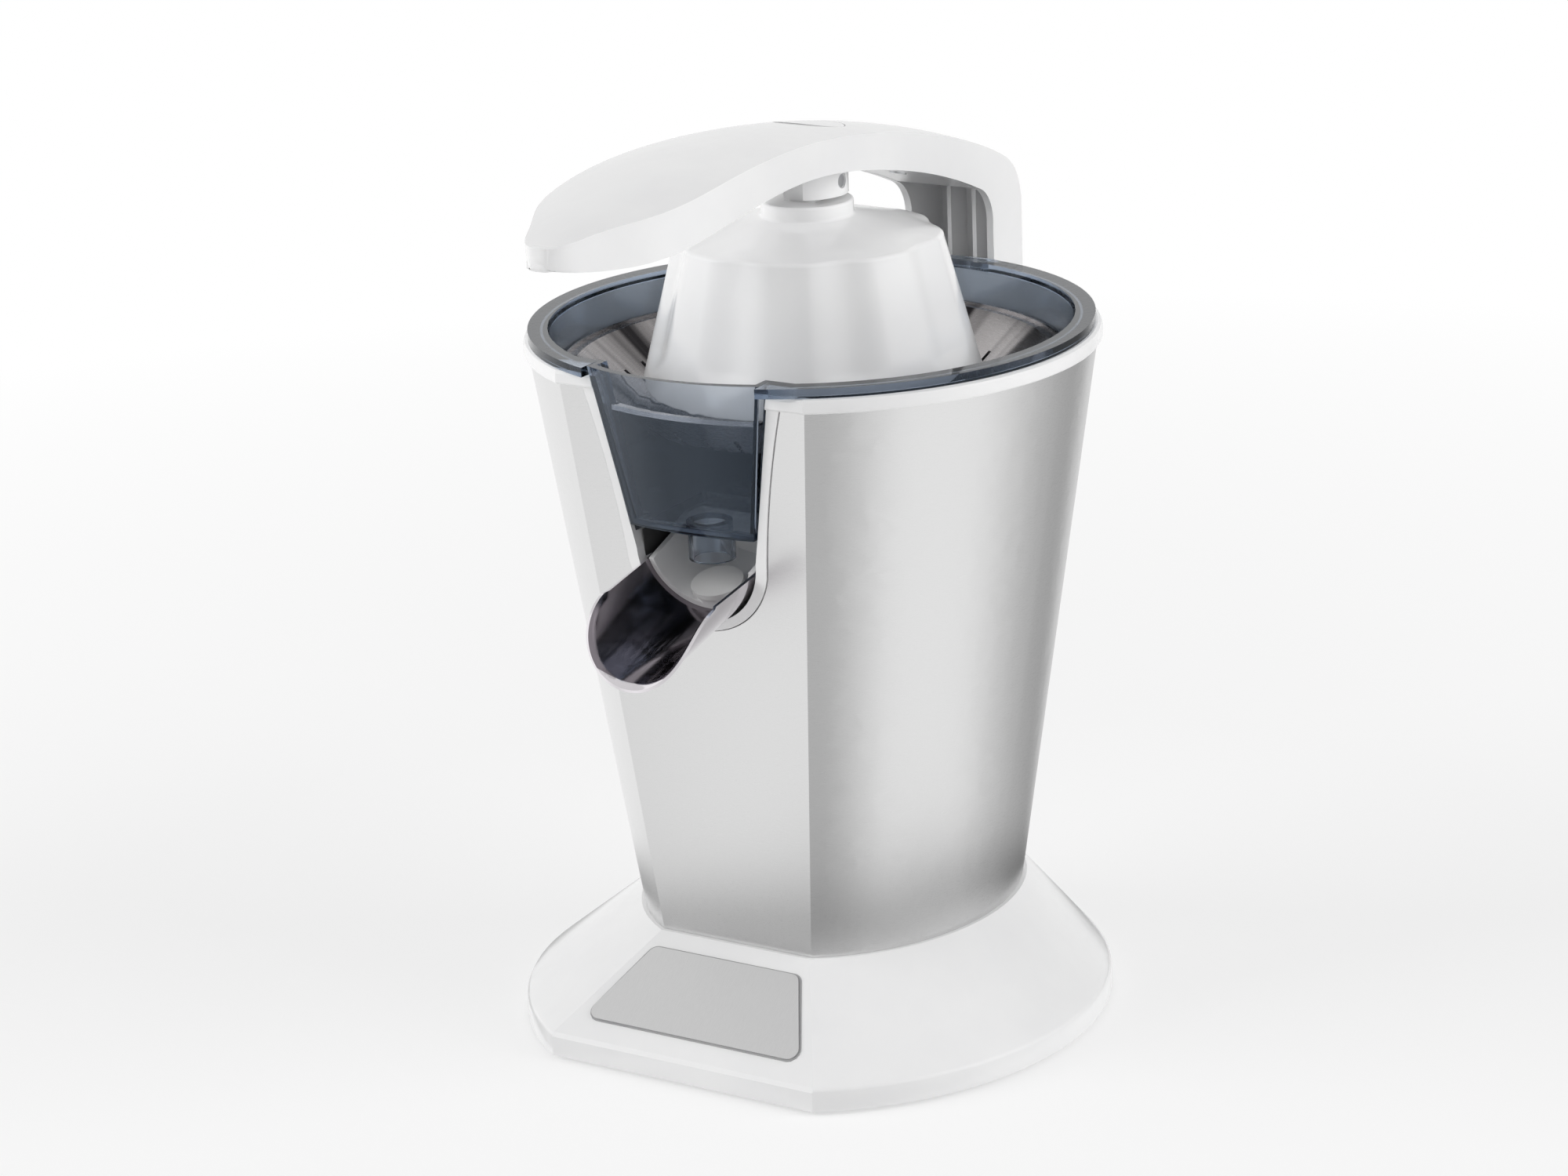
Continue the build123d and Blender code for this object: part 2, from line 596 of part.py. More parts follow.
with BuildPart() as trough:
    with BuildSketch(spout_plane):
        Polygon(
            (TROUGH_REAR_S, 0.001),
            (TROUGH_REAR_S, SPOUT_R),
            (0, SPOUT_R),
            (0, SPOUT_R - TROUGH_WALL),
            (TROUGH_REAR_S + 2, SPOUT_R - TROUGH_WALL),
            (TROUGH_REAR_S + 2, 0.001),
            align=None,
        )
    revolve(axis=spout_axis)
    with BuildSketch(Plane.YZ.offset(-SPOUT_R)):
        Polygon((-54, 178), (-52, 190), (-34, 190), (-36, 170.6), (-42, 169.4), (-46, 170.6), align=None)
    extrude(amount=TROUGH_WALL)
    with BuildSketch(Plane.YZ.offset(SPOUT_R - TROUGH_WALL)):
        Polygon((-54, 178), (-52, 190), (-34, 190), (-36, 170.6), (-42, 169.4), (-46, 170.6), align=None)
    extrude(amount=TROUGH_WALL)
    with BuildSketch(Plane.YZ):
        Polygon(
            (-50, 181.8), (-112, 161.2), (-140, 161), (-140, 220), (-20, 220), (-20, 181.8), align=None
        )
    extrude(amount=40, both=True, mode=Mode.SUBTRACT)
    with BuildSketch(pivot_plane.offset(-BAY_HALF - BAY_WALL)):
        Circle(TRUNNION_R)
    extrude(amount=BAY_HALF + BAY_WALL - SPOUT_R + 1)
    with BuildSketch(pivot_plane.offset(BAY_HALF + BAY_WALL)):
        Circle(TRUNNION_R)
    extrude(amount=-(BAY_HALF + BAY_WALL - SPOUT_R + 1))
    with BuildSketch(pad_plane.offset(-PAD_THICK)):
        Circle(7.6)
    extrude(amount=-3.0)
trough.part.label = "trough"
export_step(trough.part, "parts/trough.step")

with BuildPart() as drip_pad:
    with BuildSketch(pad_plane):
        Circle(PAD_R)
    extrude(amount=-PAD_THICK)
drip_pad.part.label = "drip_pad"
export_step(drip_pad.part, "parts/drip_pad.step")

# ---------------------------------------------------------------- reamer and drive shaft
HEX_TOP_Z = 236.0
HEX_LOW_Z = 211.0
SHAFT_LOW_Z = 109.0
SKIRT_R = 12.4
RIB_THICK = 2.2
rib_planes = [
    Plane.XZ.rotated((0, 0, 360 * (k + 0.5) / REAMER_RIBS)).offset(-RIB_THICK / 2)
    for k in range(REAMER_RIBS)
]
with BuildPart() as reamer:
    with BuildSketch(Plane.XZ):
        with BuildLine():
            Line((0, REAMER_BASE_Z), (REAMER_R, REAMER_BASE_Z))
            Line((REAMER_R, REAMER_BASE_Z), (REAMER_R, REAMER_BASE_Z + 2.4))
            Line((REAMER_R, REAMER_BASE_Z + 2.4), (26, REAMER_BASE_Z + 3.2))
            Spline(
                (26, REAMER_BASE_Z + 3.2), (22.8, 225), (15.8, 240), (8.6, 250), (3.6, 255.6),
                (0, REAMER_TIP_Z),
            )
            Line((0, REAMER_TIP_Z), (0, REAMER_BASE_Z))
        make_face()
    revolve(axis=Axis.Z)
    with BuildSketch(*rib_planes):
        with BuildLine():
            Line((6, REAMER_BASE_Z + 1), (34, REAMER_BASE_Z + 1))
            Line((34, REAMER_BASE_Z + 1), (33.2, REAMER_BASE_Z + 5))
            ThreePointArc((33.2, REAMER_BASE_Z + 5), (21.5, 238), (4.6, 254.1))
            Line((4.6, 254.1), (6, REAMER_BASE_Z + 1))
        make_face()
    extrude(amount=RIB_THICK)
    with Locations((0, 0, REAMER_BASE_Z - 11)):
        Cylinder(SKIRT_R, 11, align=BOTTOM)
        Cylinder(10.4, 11, align=BOTTOM, mode=Mode.SUBTRACT)
    with BuildSketch(Plane.XY.offset(REAMER_BASE_Z)):
        RegularPolygon(SHAFT_R, 6)
    extrude(amount=HEX_TOP_Z - REAMER_BASE_Z, mode=Mode.SUBTRACT)
    with Locations((0, 0, REAMER_BASE_Z)):
        Cylinder(SHAFT_R, HEX_LOW_Z - REAMER_BASE_Z, align=BOTTOM, mode=Mode.SUBTRACT)
reamer.part.label = "reamer"
export_step(reamer.part, "parts/reamer.step")

with BuildPart() as drive_shaft:
    with Locations((0, 0, SHAFT_LOW_Z)):
        Cylinder(SHAFT_R, HEX_LOW_Z - SHAFT_LOW_Z, align=BOTTOM)
    with BuildSketch(Plane.XY.offset(HEX_LOW_Z)):
        RegularPolygon(SHAFT_R, 6)
    extrude(amount=HEX_TOP_Z - HEX_LOW_Z)
drive_shaft.part.label = "drive_shaft"
export_step(drive_shaft.part, "parts/drive_shaft.step")

# ---------------------------------------------------------------- gear train
TRAY_LOW_Z = 115.5
TRAY_FLOOR_Z = 118.0
TRAY_TOP_Z = 146.0
LID_TOP_Z = 148.5
OUTPUT_GEAR_Z = 131.0
IDLER_GEAR_Z = 120.0
IDLER_PINION_Z = 126.0
BUSH_R = 7.5
idler_x, idler_y = IDLER_XY
motor_x, motor_y = MOTOR_XY
# angle of the line from the idler to the motor, for meshing the tooth gaps
to_motor = 180 - degrees(acos((idler_x - motor_x) / 24.0))


def tray_outline(growth):
    """Hull round the three gears, drawn in the open sketch."""
    Circle(26.0 + growth)
    with Locations(IDLER_XY):
        Circle(21.5 + growth)
    with Locations(MOTOR_XY):
        Circle(10.5 + growth)
    make_hull()


CASE_SCREW_XY = [(31, -6), (-31, -6), (-2, 61.5)]
MOTOR_SCREW_XY = [(-28.3, 55.9), (-15.5, 67.4)]

with BuildPart() as gearbox_tray:
    with BuildSketch(Plane.XY.offset(TRAY_LOW_Z)):
        tray_outline(2.0)
    extrude(amount=TRAY_TOP_Z - TRAY_LOW_Z)
    with BuildSketch(Plane.XY.offset(TRAY_FLOOR_Z)):
        tray_outline(0)
    extrude(amount=TRAY_TOP_Z - TRAY_FLOOR_Z, mode=Mode.SUBTRACT)
    with Locations(*[(x, y, TRAY_LOW_Z) for x, y in CASE_SCREW_XY]):
        Cylinder(4.2, TRAY_TOP_Z - TRAY_LOW_Z, align=BOTTOM)
        Cylinder(1.6, TRAY_TOP_Z - TRAY_LOW_Z, align=BOTTOM, mode=Mode.SUBTRACT)
    with Locations((0, 0, TRAY_LOW_Z)):
        Cylinder(BUSH_R, 10, mode=Mode.SUBTRACT)
    with Locations((motor_x, motor_y, TRAY_LOW_Z)):
        Cylinder(7.8, 10, mode=Mode.SUBTRACT)
    with Locations((idler_x, idler_y, TRAY_LOW_Z)):
        Cylinder(3.0, 10, mode=Mode.SUBTRACT)
gearbox_tray.part.label = "gearbox_tray"
export_step(gearbox_tray.part, "parts/gearbox_tray.step")

with BuildPart() as gearbox_lid:
    with BuildSketch(Plane.XY.offset(TRAY_TOP_Z)):
        tray_outline(2.0)
    extrude(amount=LID_TOP_Z - TRAY_TOP_Z)
    with Locations(*[(x, y, TRAY_TOP_Z) for x, y in CASE_SCREW_XY]):
        Cylinder(4.2, LID_TOP_Z - TRAY_TOP_Z, align=BOTTOM)
        Cylinder(1.6, LID_TOP_Z - TRAY_TOP_Z, align=BOTTOM, mode=Mode.SUBTRACT)
    with Locations((0, 0, LID_TOP_Z)):
        Cylinder(BUSH_R + 2.5, 8, align=BOTTOM)
    with Locations((0, 0, TRAY_TOP_Z)):
        Cylinder(BUSH_R, 30, mode=Mode.SUBTRACT)
    with Locations((idler_x, idler_y, TRAY_TOP_Z)):
        Cylinder(3.0, 10, mode=Mode.SUBTRACT)
gearbox_lid.part.label = "gearbox_lid"
export_step(gearbox_lid.part, "parts/gearbox_lid.step")

with BuildPart() as case_screws:
    for x, y in CASE_SCREW_XY:
        with Locations(Plane(origin=(x, y, LID_TOP_Z + 1.8), z_dir=(0, 0, -1))):
            screw(1.45, 38, 3.0, 1.8)
case_screws.part.label = "case_screws"
export_step(case_screws.part, "parts/case_screws.step")

with BuildPart() as motor_screws:
    for x, y in MOTOR_SCREW_XY:
        with Locations(Plane(origin=(x, y, TRAY_LOW_Z + 1.6), z_dir=(0, 0, -1))):
            screw(1.45, 7, 2.8, 1.6)
motor_screws.part.label = "motor_screws"
export_step(motor_screws.part, "parts/motor_screws.step")

with BuildPart() as shaft_bushes:
    for low_z, high_z in ((113.5, 120.0), (TRAY_TOP_Z, LID_TOP_Z + 8)):
        with Locations((0, 0, low_z)):
            Cylinder(BUSH_R, high_z - low_z, align=BOTTOM)
            Cylinder(SHAFT_R + RUNNING, high_z - low_z, align=BOTTOM, mode=Mode.SUBTRACT)
shaft_bushes.part.label = "shaft_bushes"
export_step(shaft_bushes.part, "parts/shaft_bushes.step")

SPRING_TOP_Z = 123.4
GEAR_HUB_Z = 125.0
with BuildPart() as disc_springs:
    for wide_z, narrow_z in ((121.1, 120.0), (121.7, 122.8)):
        with BuildSketch(Plane.XZ):
            Polygon(
                (8.8, wide_z), (8.8, wide_z + 0.6), (4.6, narrow_z + 0.6), (4.6, narrow_z), align=None
            )
        revolve(axis=Axis.Z)
disc_springs.part.label = "disc_springs"
export_step(disc_springs.part, "parts/disc_springs.step")

with BuildPart() as thrust_washer:
    with Locations((0, 0, SPRING_TOP_Z)):
        Cylinder(9.0, GEAR_HUB_Z - SPRING_TOP_Z, align=BOTTOM)
        Cylinder(SHAFT_R + RUNNING, 10, mode=Mode.SUBTRACT)
thrust_washer.part.label = "thrust_washer"
export_step(thrust_washer.part, "parts/thrust_washer.step")

with BuildPart() as output_gear:
    with Locations((0, 0, GEAR_HUB_Z)):
        Cylinder(9.0, 137.0 - GEAR_HUB_Z, align=BOTTOM)
    with BuildSketch(Plane.XY.offset(OUTPUT_GEAR_Z)):
        Polygon(*gear_outline(OUTPUT_TEETH, OUTPUT_MODULE, 90.0), align=None)
        with PolarLocations(14.5, 6):
            Circle(3.4, mode=Mode.SUBTRACT)
    extrude(amount=6)
    with Locations((0, 0, GEAR_HUB_Z)):
        Cylinder(SHAFT_R, 40, mode=Mode.SUBTRACT)
output_gear.part.label = "output_gear"
export_step(output_gear.part, "parts/output_gear.step")

with BuildPart() as idler_gear:
    with BuildSketch(Plane.XY.offset(IDLER_GEAR_Z)):
        Polygon(*gear_outline(IDLER_TEETH, IDLER_MODULE, to_motor), align=None)
    extrude(amount=IDLER_PINION_Z - IDLER_GEAR_Z)
    with BuildSketch(Plane.XY.offset(IDLER_PINION_Z)):
        Polygon(
            *gear_outline(PINION_TEETH, OUTPUT_MODULE, -90.0 + 180.0 / PINION_TEETH), align=None
        )
    extrude(amount=16)
    with Locations((0, 0, TRAY_FLOOR_Z + 0.3)):
        Cylinder(5.0, TRAY_TOP_Z - TRAY_FLOOR_Z - 0.6, align=BOTTOM)
        Cylinder(3.0 + RUNNING, 60, mode=Mode.SUBTRACT)
idler_gear.part = idler_gear.part.moved(Location((idler_x, idler_y, 0)))
idler_gear.part.label = "idler_gear"
export_step(idler_gear.part, "parts/idler_gear.step")

with BuildPart() as idler_pin:
    with Locations((idler_x, idler_y, TRAY_LOW_Z)):
        Cylinder(3.0, LID_TOP_Z - TRAY_LOW_Z, align=BOTTOM)
idler_pin.part.label = "idler_pin"
export_step(idler_pin.part, "parts/idler_pin.step")

# ---------------------------------------------------------------- motor
CAN_R = 23.5
CAN_LOW_Z = 66.0
PLATE_LOW_Z = 110.5
MOTOR_SHAFT_R = 2.5
with BuildPart() as motor_can:
    with Locations((motor_x, motor_y, CAN_LOW_Z)):
        Cylinder(CAN_R, PLATE_LOW_Z - CAN_LOW_Z, align=BOTTOM)
    with Locations((motor_x, motor_y, CAN_LOW_Z + 1.2)):
        Cylinder(CAN_R - 1.0, 60, align=BOTTOM, mode=Mode.SUBTRACT)
    with Locations((motor_x, motor_y, CAN_LOW_Z)):
        Cylinder(5.0, 10, mode=Mode.SUBTRACT)
        with PolarLocations(13, 6):
            Cylinder(3.2, 10, mode=Mode.SUBTRACT)
motor_can.part.label = "motor_can"
export_step(motor_can.part, "parts/motor_can.step")

with BuildPart() as motor_plate:
    with Locations((motor_x, motor_y, PLATE_LOW_Z)):
        Cylinder(CAN_R, DECK_Z - PLATE_LOW_Z, align=BOTTOM)
        Cylinder(5.0, 10, mode=Mode.SUBTRACT)
    with Locations(*[(x, y, PLATE_LOW_Z) for x, y in MOTOR_SCREW_XY]):
        Cylinder(1.5, 10, mode=Mode.SUBTRACT)
motor_plate.part.label = "motor_plate"
export_step(motor_plate.part, "parts/motor_plate.step")

with BuildPart() as motor_bushes:
    for low_z, high_z in ((64.0, 70.0), (107.5, 113.5)):
        with Locations((motor_x, motor_y, low_z)):
            Cylinder(5.0, high_z - low_z, align=BOTTOM)
            Cylinder(MOTOR_SHAFT_R + RUNNING, 10, align=BOTTOM, mode=Mode.SUBTRACT)
motor_bushes.part.label = "motor_bushes"
export_step(motor_bushes.part, "parts/motor_bushes.step")

with BuildPart() as stator:
    with Locations((motor_x, motor_y, 75.0)):
        Cylinder(CAN_R - 1.0, 28, align=BOTTOM)
        Cylinder(15.6, 28, align=BOTTOM, mode=Mode.SUBTRACT)
    with BuildSketch(Plane.XY.offset(75.0)):
        with Locations(MOTOR_XY):
            with PolarLocations(18.2, 6):
                Rectangle(3.6, 7)
    extrude(amount=28, mode=Mode.SUBTRACT)
stator.part.label = "stator"
export_step(stator.part, "parts/stator.step")

with BuildPart() as stator_coils:
    with BuildSketch(Plane.XY.offset(72.0)):
        with Locations(MOTOR_XY):
            with PolarLocations(18.2, 6):
                Rectangle(3.4, 6.8)
    extrude(amount=34)
    for low_z in (72.0, 103.2):
        with Locations((motor_x, motor_y, low_z)):
            Cylinder(20.0, 2.8, align=BOTTOM)
            Cylinder(16.4, 2.8, align=BOTTOM, mode=Mode.SUBTRACT)
stator_coils.part.label = "stator_coils"
export_step(stator_coils.part, "parts/stator_coils.step")

with BuildPart() as rotor:
    with Locations((motor_x, motor_y, 56.0)):
        Cylinder(MOTOR_SHAFT_R, 71.5, align=BOTTOM)
    with Locations((motor_x, motor_y, 75.0)):
        Cylinder(15.0, 28, align=BOTTOM)
rotor.part.label = "rotor"
export_step(rotor.part, "parts/rotor.step")

with BuildPart() as cooling_fan:
    with Locations((0, 0, 56.5)):
        Cylinder(5.5, 6.5, align=BOTTOM)
    with BuildSketch(Plane.XY.offset(56.5)):
        with PolarLocations(12.5, 7, rotate=True):
            Rectangle(15.5, 1.6, rotation=18)
    extrude(amount=6)
    with Locations((0, 0, 56.5)):
        Cylinder(21.0, 1.2, align=BOTTOM)
        Cylinder(MOTOR_SHAFT_R, 20, mode=Mode.SUBTRACT)
cooling_fan.part = cooling_fan.part.moved(Location((motor_x, motor_y, 0)))
cooling_fan.part.label = "cooling_fan"
export_step(cooling_fan.part, "parts/cooling_fan.step")

with BuildPart() as motor_pinion:
    with BuildSketch(Plane.XY.offset(119.5)):
        Polygon(
            *gear_outline(PINION_TEETH, IDLER_MODULE, to_motor + 180 + 180.0 / PINION_TEETH),
            align=None
        )
        Circle(MOTOR_SHAFT_R, mode=Mode.SUBTRACT)
    extrude(amount=7.5)
motor_pinion.part = motor_pinion.part.moved(Location((motor_x, motor_y, 0)))
motor_pinion.part.label = "motor_pinion"
export_step(motor_pinion.part, "parts/motor_pinion.step")

# ---------------------------------------------------------------- inner frame and switch
DECK_THICK = 3.5
LEG_R = 4.5
with BuildPart() as inner_frame:
    add(tower_block(DECK_Z, DECK_Z + DECK_THICK, 2.0))
    with Locations(*[(x, y, COVER_TOP_Z) for x, y in LEG_XY]):
        Cylinder(LEG_R, DECK_LOW_Z - COVER_TOP_Z, align=BOTTOM)
    with Locations(*[(x, y, COVER_TOP_Z) for x, y in LEG_XY]):
        Cylinder(1.5, 14, align=BOTTOM, mode=Mode.SUBTRACT)
    with Locations(*[(x, y, DECK_LOW_Z - 14) for x, y in LEG_XY]):
        Cylinder(1.5, 14, align=BOTTOM, mode=Mode.SUBTRACT)
    with Locations((0, 0, DECK_Z)):
        Cylinder(BUSH_R, 20, mode=Mode.SUBTRACT)
    with Locations((motor_x, motor_y, DECK_Z)):
        Cylinder(7.8, 20, mode=Mode.SUBTRACT)
    with Locations(*[(x, y, DECK_Z) for x, y in CASE_SCREW_XY + MOTOR_SCREW_XY]):
        Cylinder(1.5, 20, mode=Mode.SUBTRACT)
inner_frame.part.label = "inner_frame"
export_step(inner_frame.part, "parts/inner_frame.step")

with BuildPart() as switch_body:
    with Locations((0, 0, 92.0)):
        Box(20, 10, 13, align=BOTTOM)
    with Locations((0, 0, 105.0)):
        with GridLocations(16, 0, 2, 1):
            Box(4, 10, DECK_Z - 105.0, align=BOTTOM)
    with Locations((0, 0, 96.0)):
        Cylinder(2.0 + RUNNING, 20, align=BOTTOM, mode=Mode.SUBTRACT)
switch_body.part.label = "switch_body"
export_step(switch_body.part, "parts/switch_body.step")

with BuildPart() as switch_plunger:
    with Locations((0, 0, 98.5)):
        Cylinder(2.0, SHAFT_LOW_Z - 98.5, align=BOTTOM)
switch_plunger.part.label = "switch_plunger"
export_step(switch_plunger.part, "parts/switch_plunger.step")

# ---------------------------------------------------------------- hinge at the back
BRACKET_HALF = 28.0
EAR_R = 13.0
BRACKET_SLOT_HALF = 18.3
BRACKET_SLOT_R = 12.4
hinge_plane = Plane(origin=(0, HINGE_Y, HINGE_Z), z_dir=(1, 0, 0))

with BuildPart() as hinge_bracket:
    with BuildSketch(Plane.YZ):
        Polygon(
            (80, 178), (104, 178), (112, 186), (120.4, 196), (120.4, 206), (118, 214),
            (HINGE_Y, HINGE_Z + EAR_R), (80, HINGE_Z + EAR_R), align=None,
        )
        with Locations((HINGE_Y, HINGE_Z)):
            Circle(EAR_R)
    extrude(amount=BRACKET_HALF, both=True)
    add(tower_block(170, TOWER_HEAD_Z, -0.1), mode=Mode.SUBTRACT)
    with BuildSketch(Plane.YZ):
        with Locations((HINGE_Y, HINGE_Z)):
            Circle(BRACKET_SLOT_R)
        Polygon(
            (93.4, HINGE_Z), (93.4, 240), (130, 240), (130, 208.6), (110.0, 201.3), align=None
        )
    extrude(amount=BRACKET_SLOT_HALF, both=True, mode=Mode.SUBTRACT)
    with Locations(hinge_plane):
        Cylinder(HINGE_PIN_R, 80, mode=Mode.SUBTRACT)
    with BuildSketch(Plane.XZ.offset(-80)):
        with Locations(*HINGE_SCREW_XZ):
            Circle(1.5)
    extrude(amount=-21, mode=Mode.SUBTRACT)
hinge_bracket.part.label = "hinge_bracket"
export_step(hinge_bracket.part, "parts/hinge_bracket.step")

with BuildPart() as hinge_backplate:
    add(tower_block(184, 218, STEEL + 0.1))
    add(tower_block(170, 230, 2.4), mode=Mode.SUBTRACT)
    with Locations((0, 60, 170)):
        Box(52, 60, 60, align=(Align.CENTER, Align.MIN, Align.MIN), mode=Mode.INTERSECT)
    with BuildSketch(Plane.XZ.offset(-70)):
        with Locations(*HINGE_SCREW_XZ):
            Circle(1.6)
    extrude(amount=-40, mode=Mode.SUBTRACT)
hinge_backplate.part.label = "hinge_backplate"
export_step(hinge_backplate.part, "parts/hinge_backplate.step")

with BuildPart() as hinge_screws:
    for x, z in HINGE_SCREW_XZ:
        with Locations(Plane(origin=(x, 82.7 + 0.1 * (z - 190), z), z_dir=(0, 1, 0))):
            screw(1.45, 15, 2.8, 1.4)
hinge_screws.part.label = "hinge_screws"
export_step(hinge_screws.part, "parts/hinge_screws.step")

with BuildPart() as hinge_pin:
    with Locations(hinge_plane):
        Cylinder(HINGE_PIN_R, 2 * BRACKET_HALF)
hinge_pin.part.label = "hinge_pin"
export_step(hinge_pin.part, "parts/hinge_pin.step")

with BuildPart() as hinge_caps:
    with Locations(hinge_plane.offset(BRACKET_HALF), hinge_plane.offset(-BRACKET_HALF - 1.5)):
        Cylinder(5.0, 1.5, align=BOTTOM)
hinge_caps.part.label = "hinge_caps"
export_step(hinge_caps.part, "parts/hinge_caps.step")

# ---------------------------------------------------------------- lever arm
# Centre line of the crowned top, as (y, z), from beyond the tip to the foot of the post.
ARM_TOP = [
    (-162, 295.4), (-154.6, 297.3), (-117, 305.8), (-88, 309.8), (-49, 310.3), (2.7, 305.1),
    (71, 289.2), (103.3, 277.0), (110.2, 273.0), (115.3, 267.3), (118.2, 260), (119.3, 250),
    (119.6, 236), (119.7, 200),
]
ARM_BELLY = [
    (85.5, 266.8), (73.2, 271.7), (15.7, 288), (-27, 294.3), (-99.6, 290.9), (-132.8, 287.5),
    (-154.6, 290.2),
]
# Half of the outline from above, from tip to back: point, then the way inwards.
ARM_SIDE = [
    ((0, -156.3), (0, 1)),
    ((5.8, -153.2), (-0.5, 0.87)),
    ((11.5, -143), (-0.84, 0.55)),
    ((20.6, -125), (-0.97, 0.25)),
    ((25.7, -88), (-1, 0)),
    ((22.6, -36), (-1, 0)),
    ((20, 30), (-1, 0)),
    ((16.5, 117.4), (-1, 0)),
]
ARM_CROWN_R = 90.0
COVER_THICK = 2.4
COVER_FIT = 0.15
TUBE_R = 6.5
BUSH_OUT_R = 4.5
CAP_CENTRE_Y = 3.0
CAP_R = 11.7
CAP_THICK = 1.6
CUP_PIN_R = 2.5
STEM_SCREW_XY = [(9.6, 4.6), (-9.6, -4.6)]
STEM_R = 14.0
STEM_TOP_Z = 296.5
STEM_LOW_Z = 282.2
# (y, z on the belly, lean of the belly in degrees)
ARM_SCREW_SPOTS = [(-125, 287.8, -3.9), (-55, 294.9, -1.6), (60, 276.3, 18.2)]


def arm_plan(shrink):
    """A tall block with the arm's outline seen from above, moved in by shrink."""
    right = [(x + shrink * in_x, y + shrink * in_y) for (x, y), (in_x, in_y) in ARM_SIDE]
    left = [(-x, y) for x, y in reversed(right[1:])]
    with BuildPart() as block:
        with BuildSketch(Plane.XY.offset(185)):
            with BuildLine():
                Spline(*left, *right)
                Line(right[-1], left[0])
            make_face()
        extrude(amount=150)
    return block.part


with BuildPart() as above_arm:
    with BuildLine(Plane.YZ) as crown_path:
        Spline(*ARM_TOP)
    with BuildSketch(
        Plane(origin=crown_path.line @ 0, x_dir=(1, 0, 0), z_dir=crown_path.line % 0)
    ):
        with BuildLine():
            drop = ARM_CROWN_R - sqrt(ARM_CROWN_R**2 - 40**2)
            ThreePointArc((-40, drop), (0, 0), (40, drop))
            Polyline((40, drop), (40, -60), (-40, -60), (-40, drop))
        make_face()
    sweep(path=crown_path.line)

with BuildPart() as arm_outside:
    with BuildSketch(Plane.YZ):
        with BuildLine():
            Spline(*ARM_BELLY)
            ThreePointArc((-154.6, 290.2), (-156.2, 293.7), (-154.6, 297.2))
            Polyline((-154.6, 297.2), (-154.6, 322), (117.2, 322), (117.2, HINGE_Z))
            ThreePointArc(
                (117.2, HINGE_Z), (HINGE_Y, HINGE_Z - POST_R), (HINGE_Y - POST_R, HINGE_Z)
            )
            Line((94.4, HINGE_Z), (94.4, 252))
            ThreePointArc((94.4, 252), (92.6, 260.6), (85.5, 266.8))
        make_face()
    extrude(amount=40, both=True)
    add(arm_plan(0), mode=Mode.INTERSECT)
    add(above_arm.part, mode=Mode.SUBTRACT)

with BuildPart() as arm_cavity:
    with BuildSketch(Plane.YZ):
        Polygon((-158, 190), (-158, 322), (117.2 - ARM_WALL, 322), (117.2 - ARM_WALL, 190), align=None)
    extrude(amount=40, both=True)
    add(arm_plan(ARM_WALL), mode=Mode.INTERSECT)
    add(above_arm.part.moved(Location((0, -ARM_WALL, -ARM_WALL))), mode=Mode.SUBTRACT)
    # left standing: stem boss, screw bosses, ribs and the hinge tube
    with Locations((0, 0, STEM_TOP_Z)):
        Cylinder(13.2, 30, align=BOTTOM, mode=Mode.SUBTRACT)
    for y, z, lean in ARM_SCREW_SPOTS:
        up = (0, sin(radians(lean)), cos(radians(lean)))
        with Locations(Plane(origin=(0, y, z), x_dir=(1, 0, 0), z_dir=up).offset(COVER_THICK + 0.3)):
            Cylinder(4.0, 40, align=BOTTOM, mode=Mode.SUBTRACT)
    with Locations((0, 109.4, 222)):
        with GridLocations(10, 0, 2, 1):
            Box(1.6, 12, 42, align=BOTTOM, mode=Mode.SUBTRACT)
    with Locations(hinge_plane):
        Cylinder(TUBE_R, 60, mode=Mode.SUBTRACT)

with BuildPart() as cap_recess:
    with Locations((0, CAP_CENTRE_Y, STEM_TOP_Z)):
        Cylinder(CAP_R + 0.3, 30, align=BOTTOM)
    add(arm_outside.part.moved(Location((0, 0, -CAP_THICK))), mode=Mode.SUBTRACT)

with BuildPart() as arm_body:
    add(arm_outside.part)
    add(arm_cavity.part, mode=Mode.SUBTRACT)
    with Locations(hinge_plane):
        Cylinder(BUSH_OUT_R, 60, mode=Mode.SUBTRACT)
    add(cap_recess.part, mode=Mode.SUBTRACT)
    with Locations(*[(x, y, STEM_TOP_Z) for x, y in STEM_SCREW_XY]):
        Cylinder(1.2, 4.2, align=BOTTOM, mode=Mode.SUBTRACT)
    for y, z, lean in ARM_SCREW_SPOTS:
        up = (0, sin(radians(lean)), cos(radians(lean)))
        with Locations(Plane(origin=(0, y, z), x_dir=(1, 0, 0), z_dir=up)):
            Cylinder(1.5, 10.5, align=BOTTOM, mode=Mode.SUBTRACT)
arm_body.part.label = "arm_body"
export_step(arm_body.part, "parts/arm_body.step")

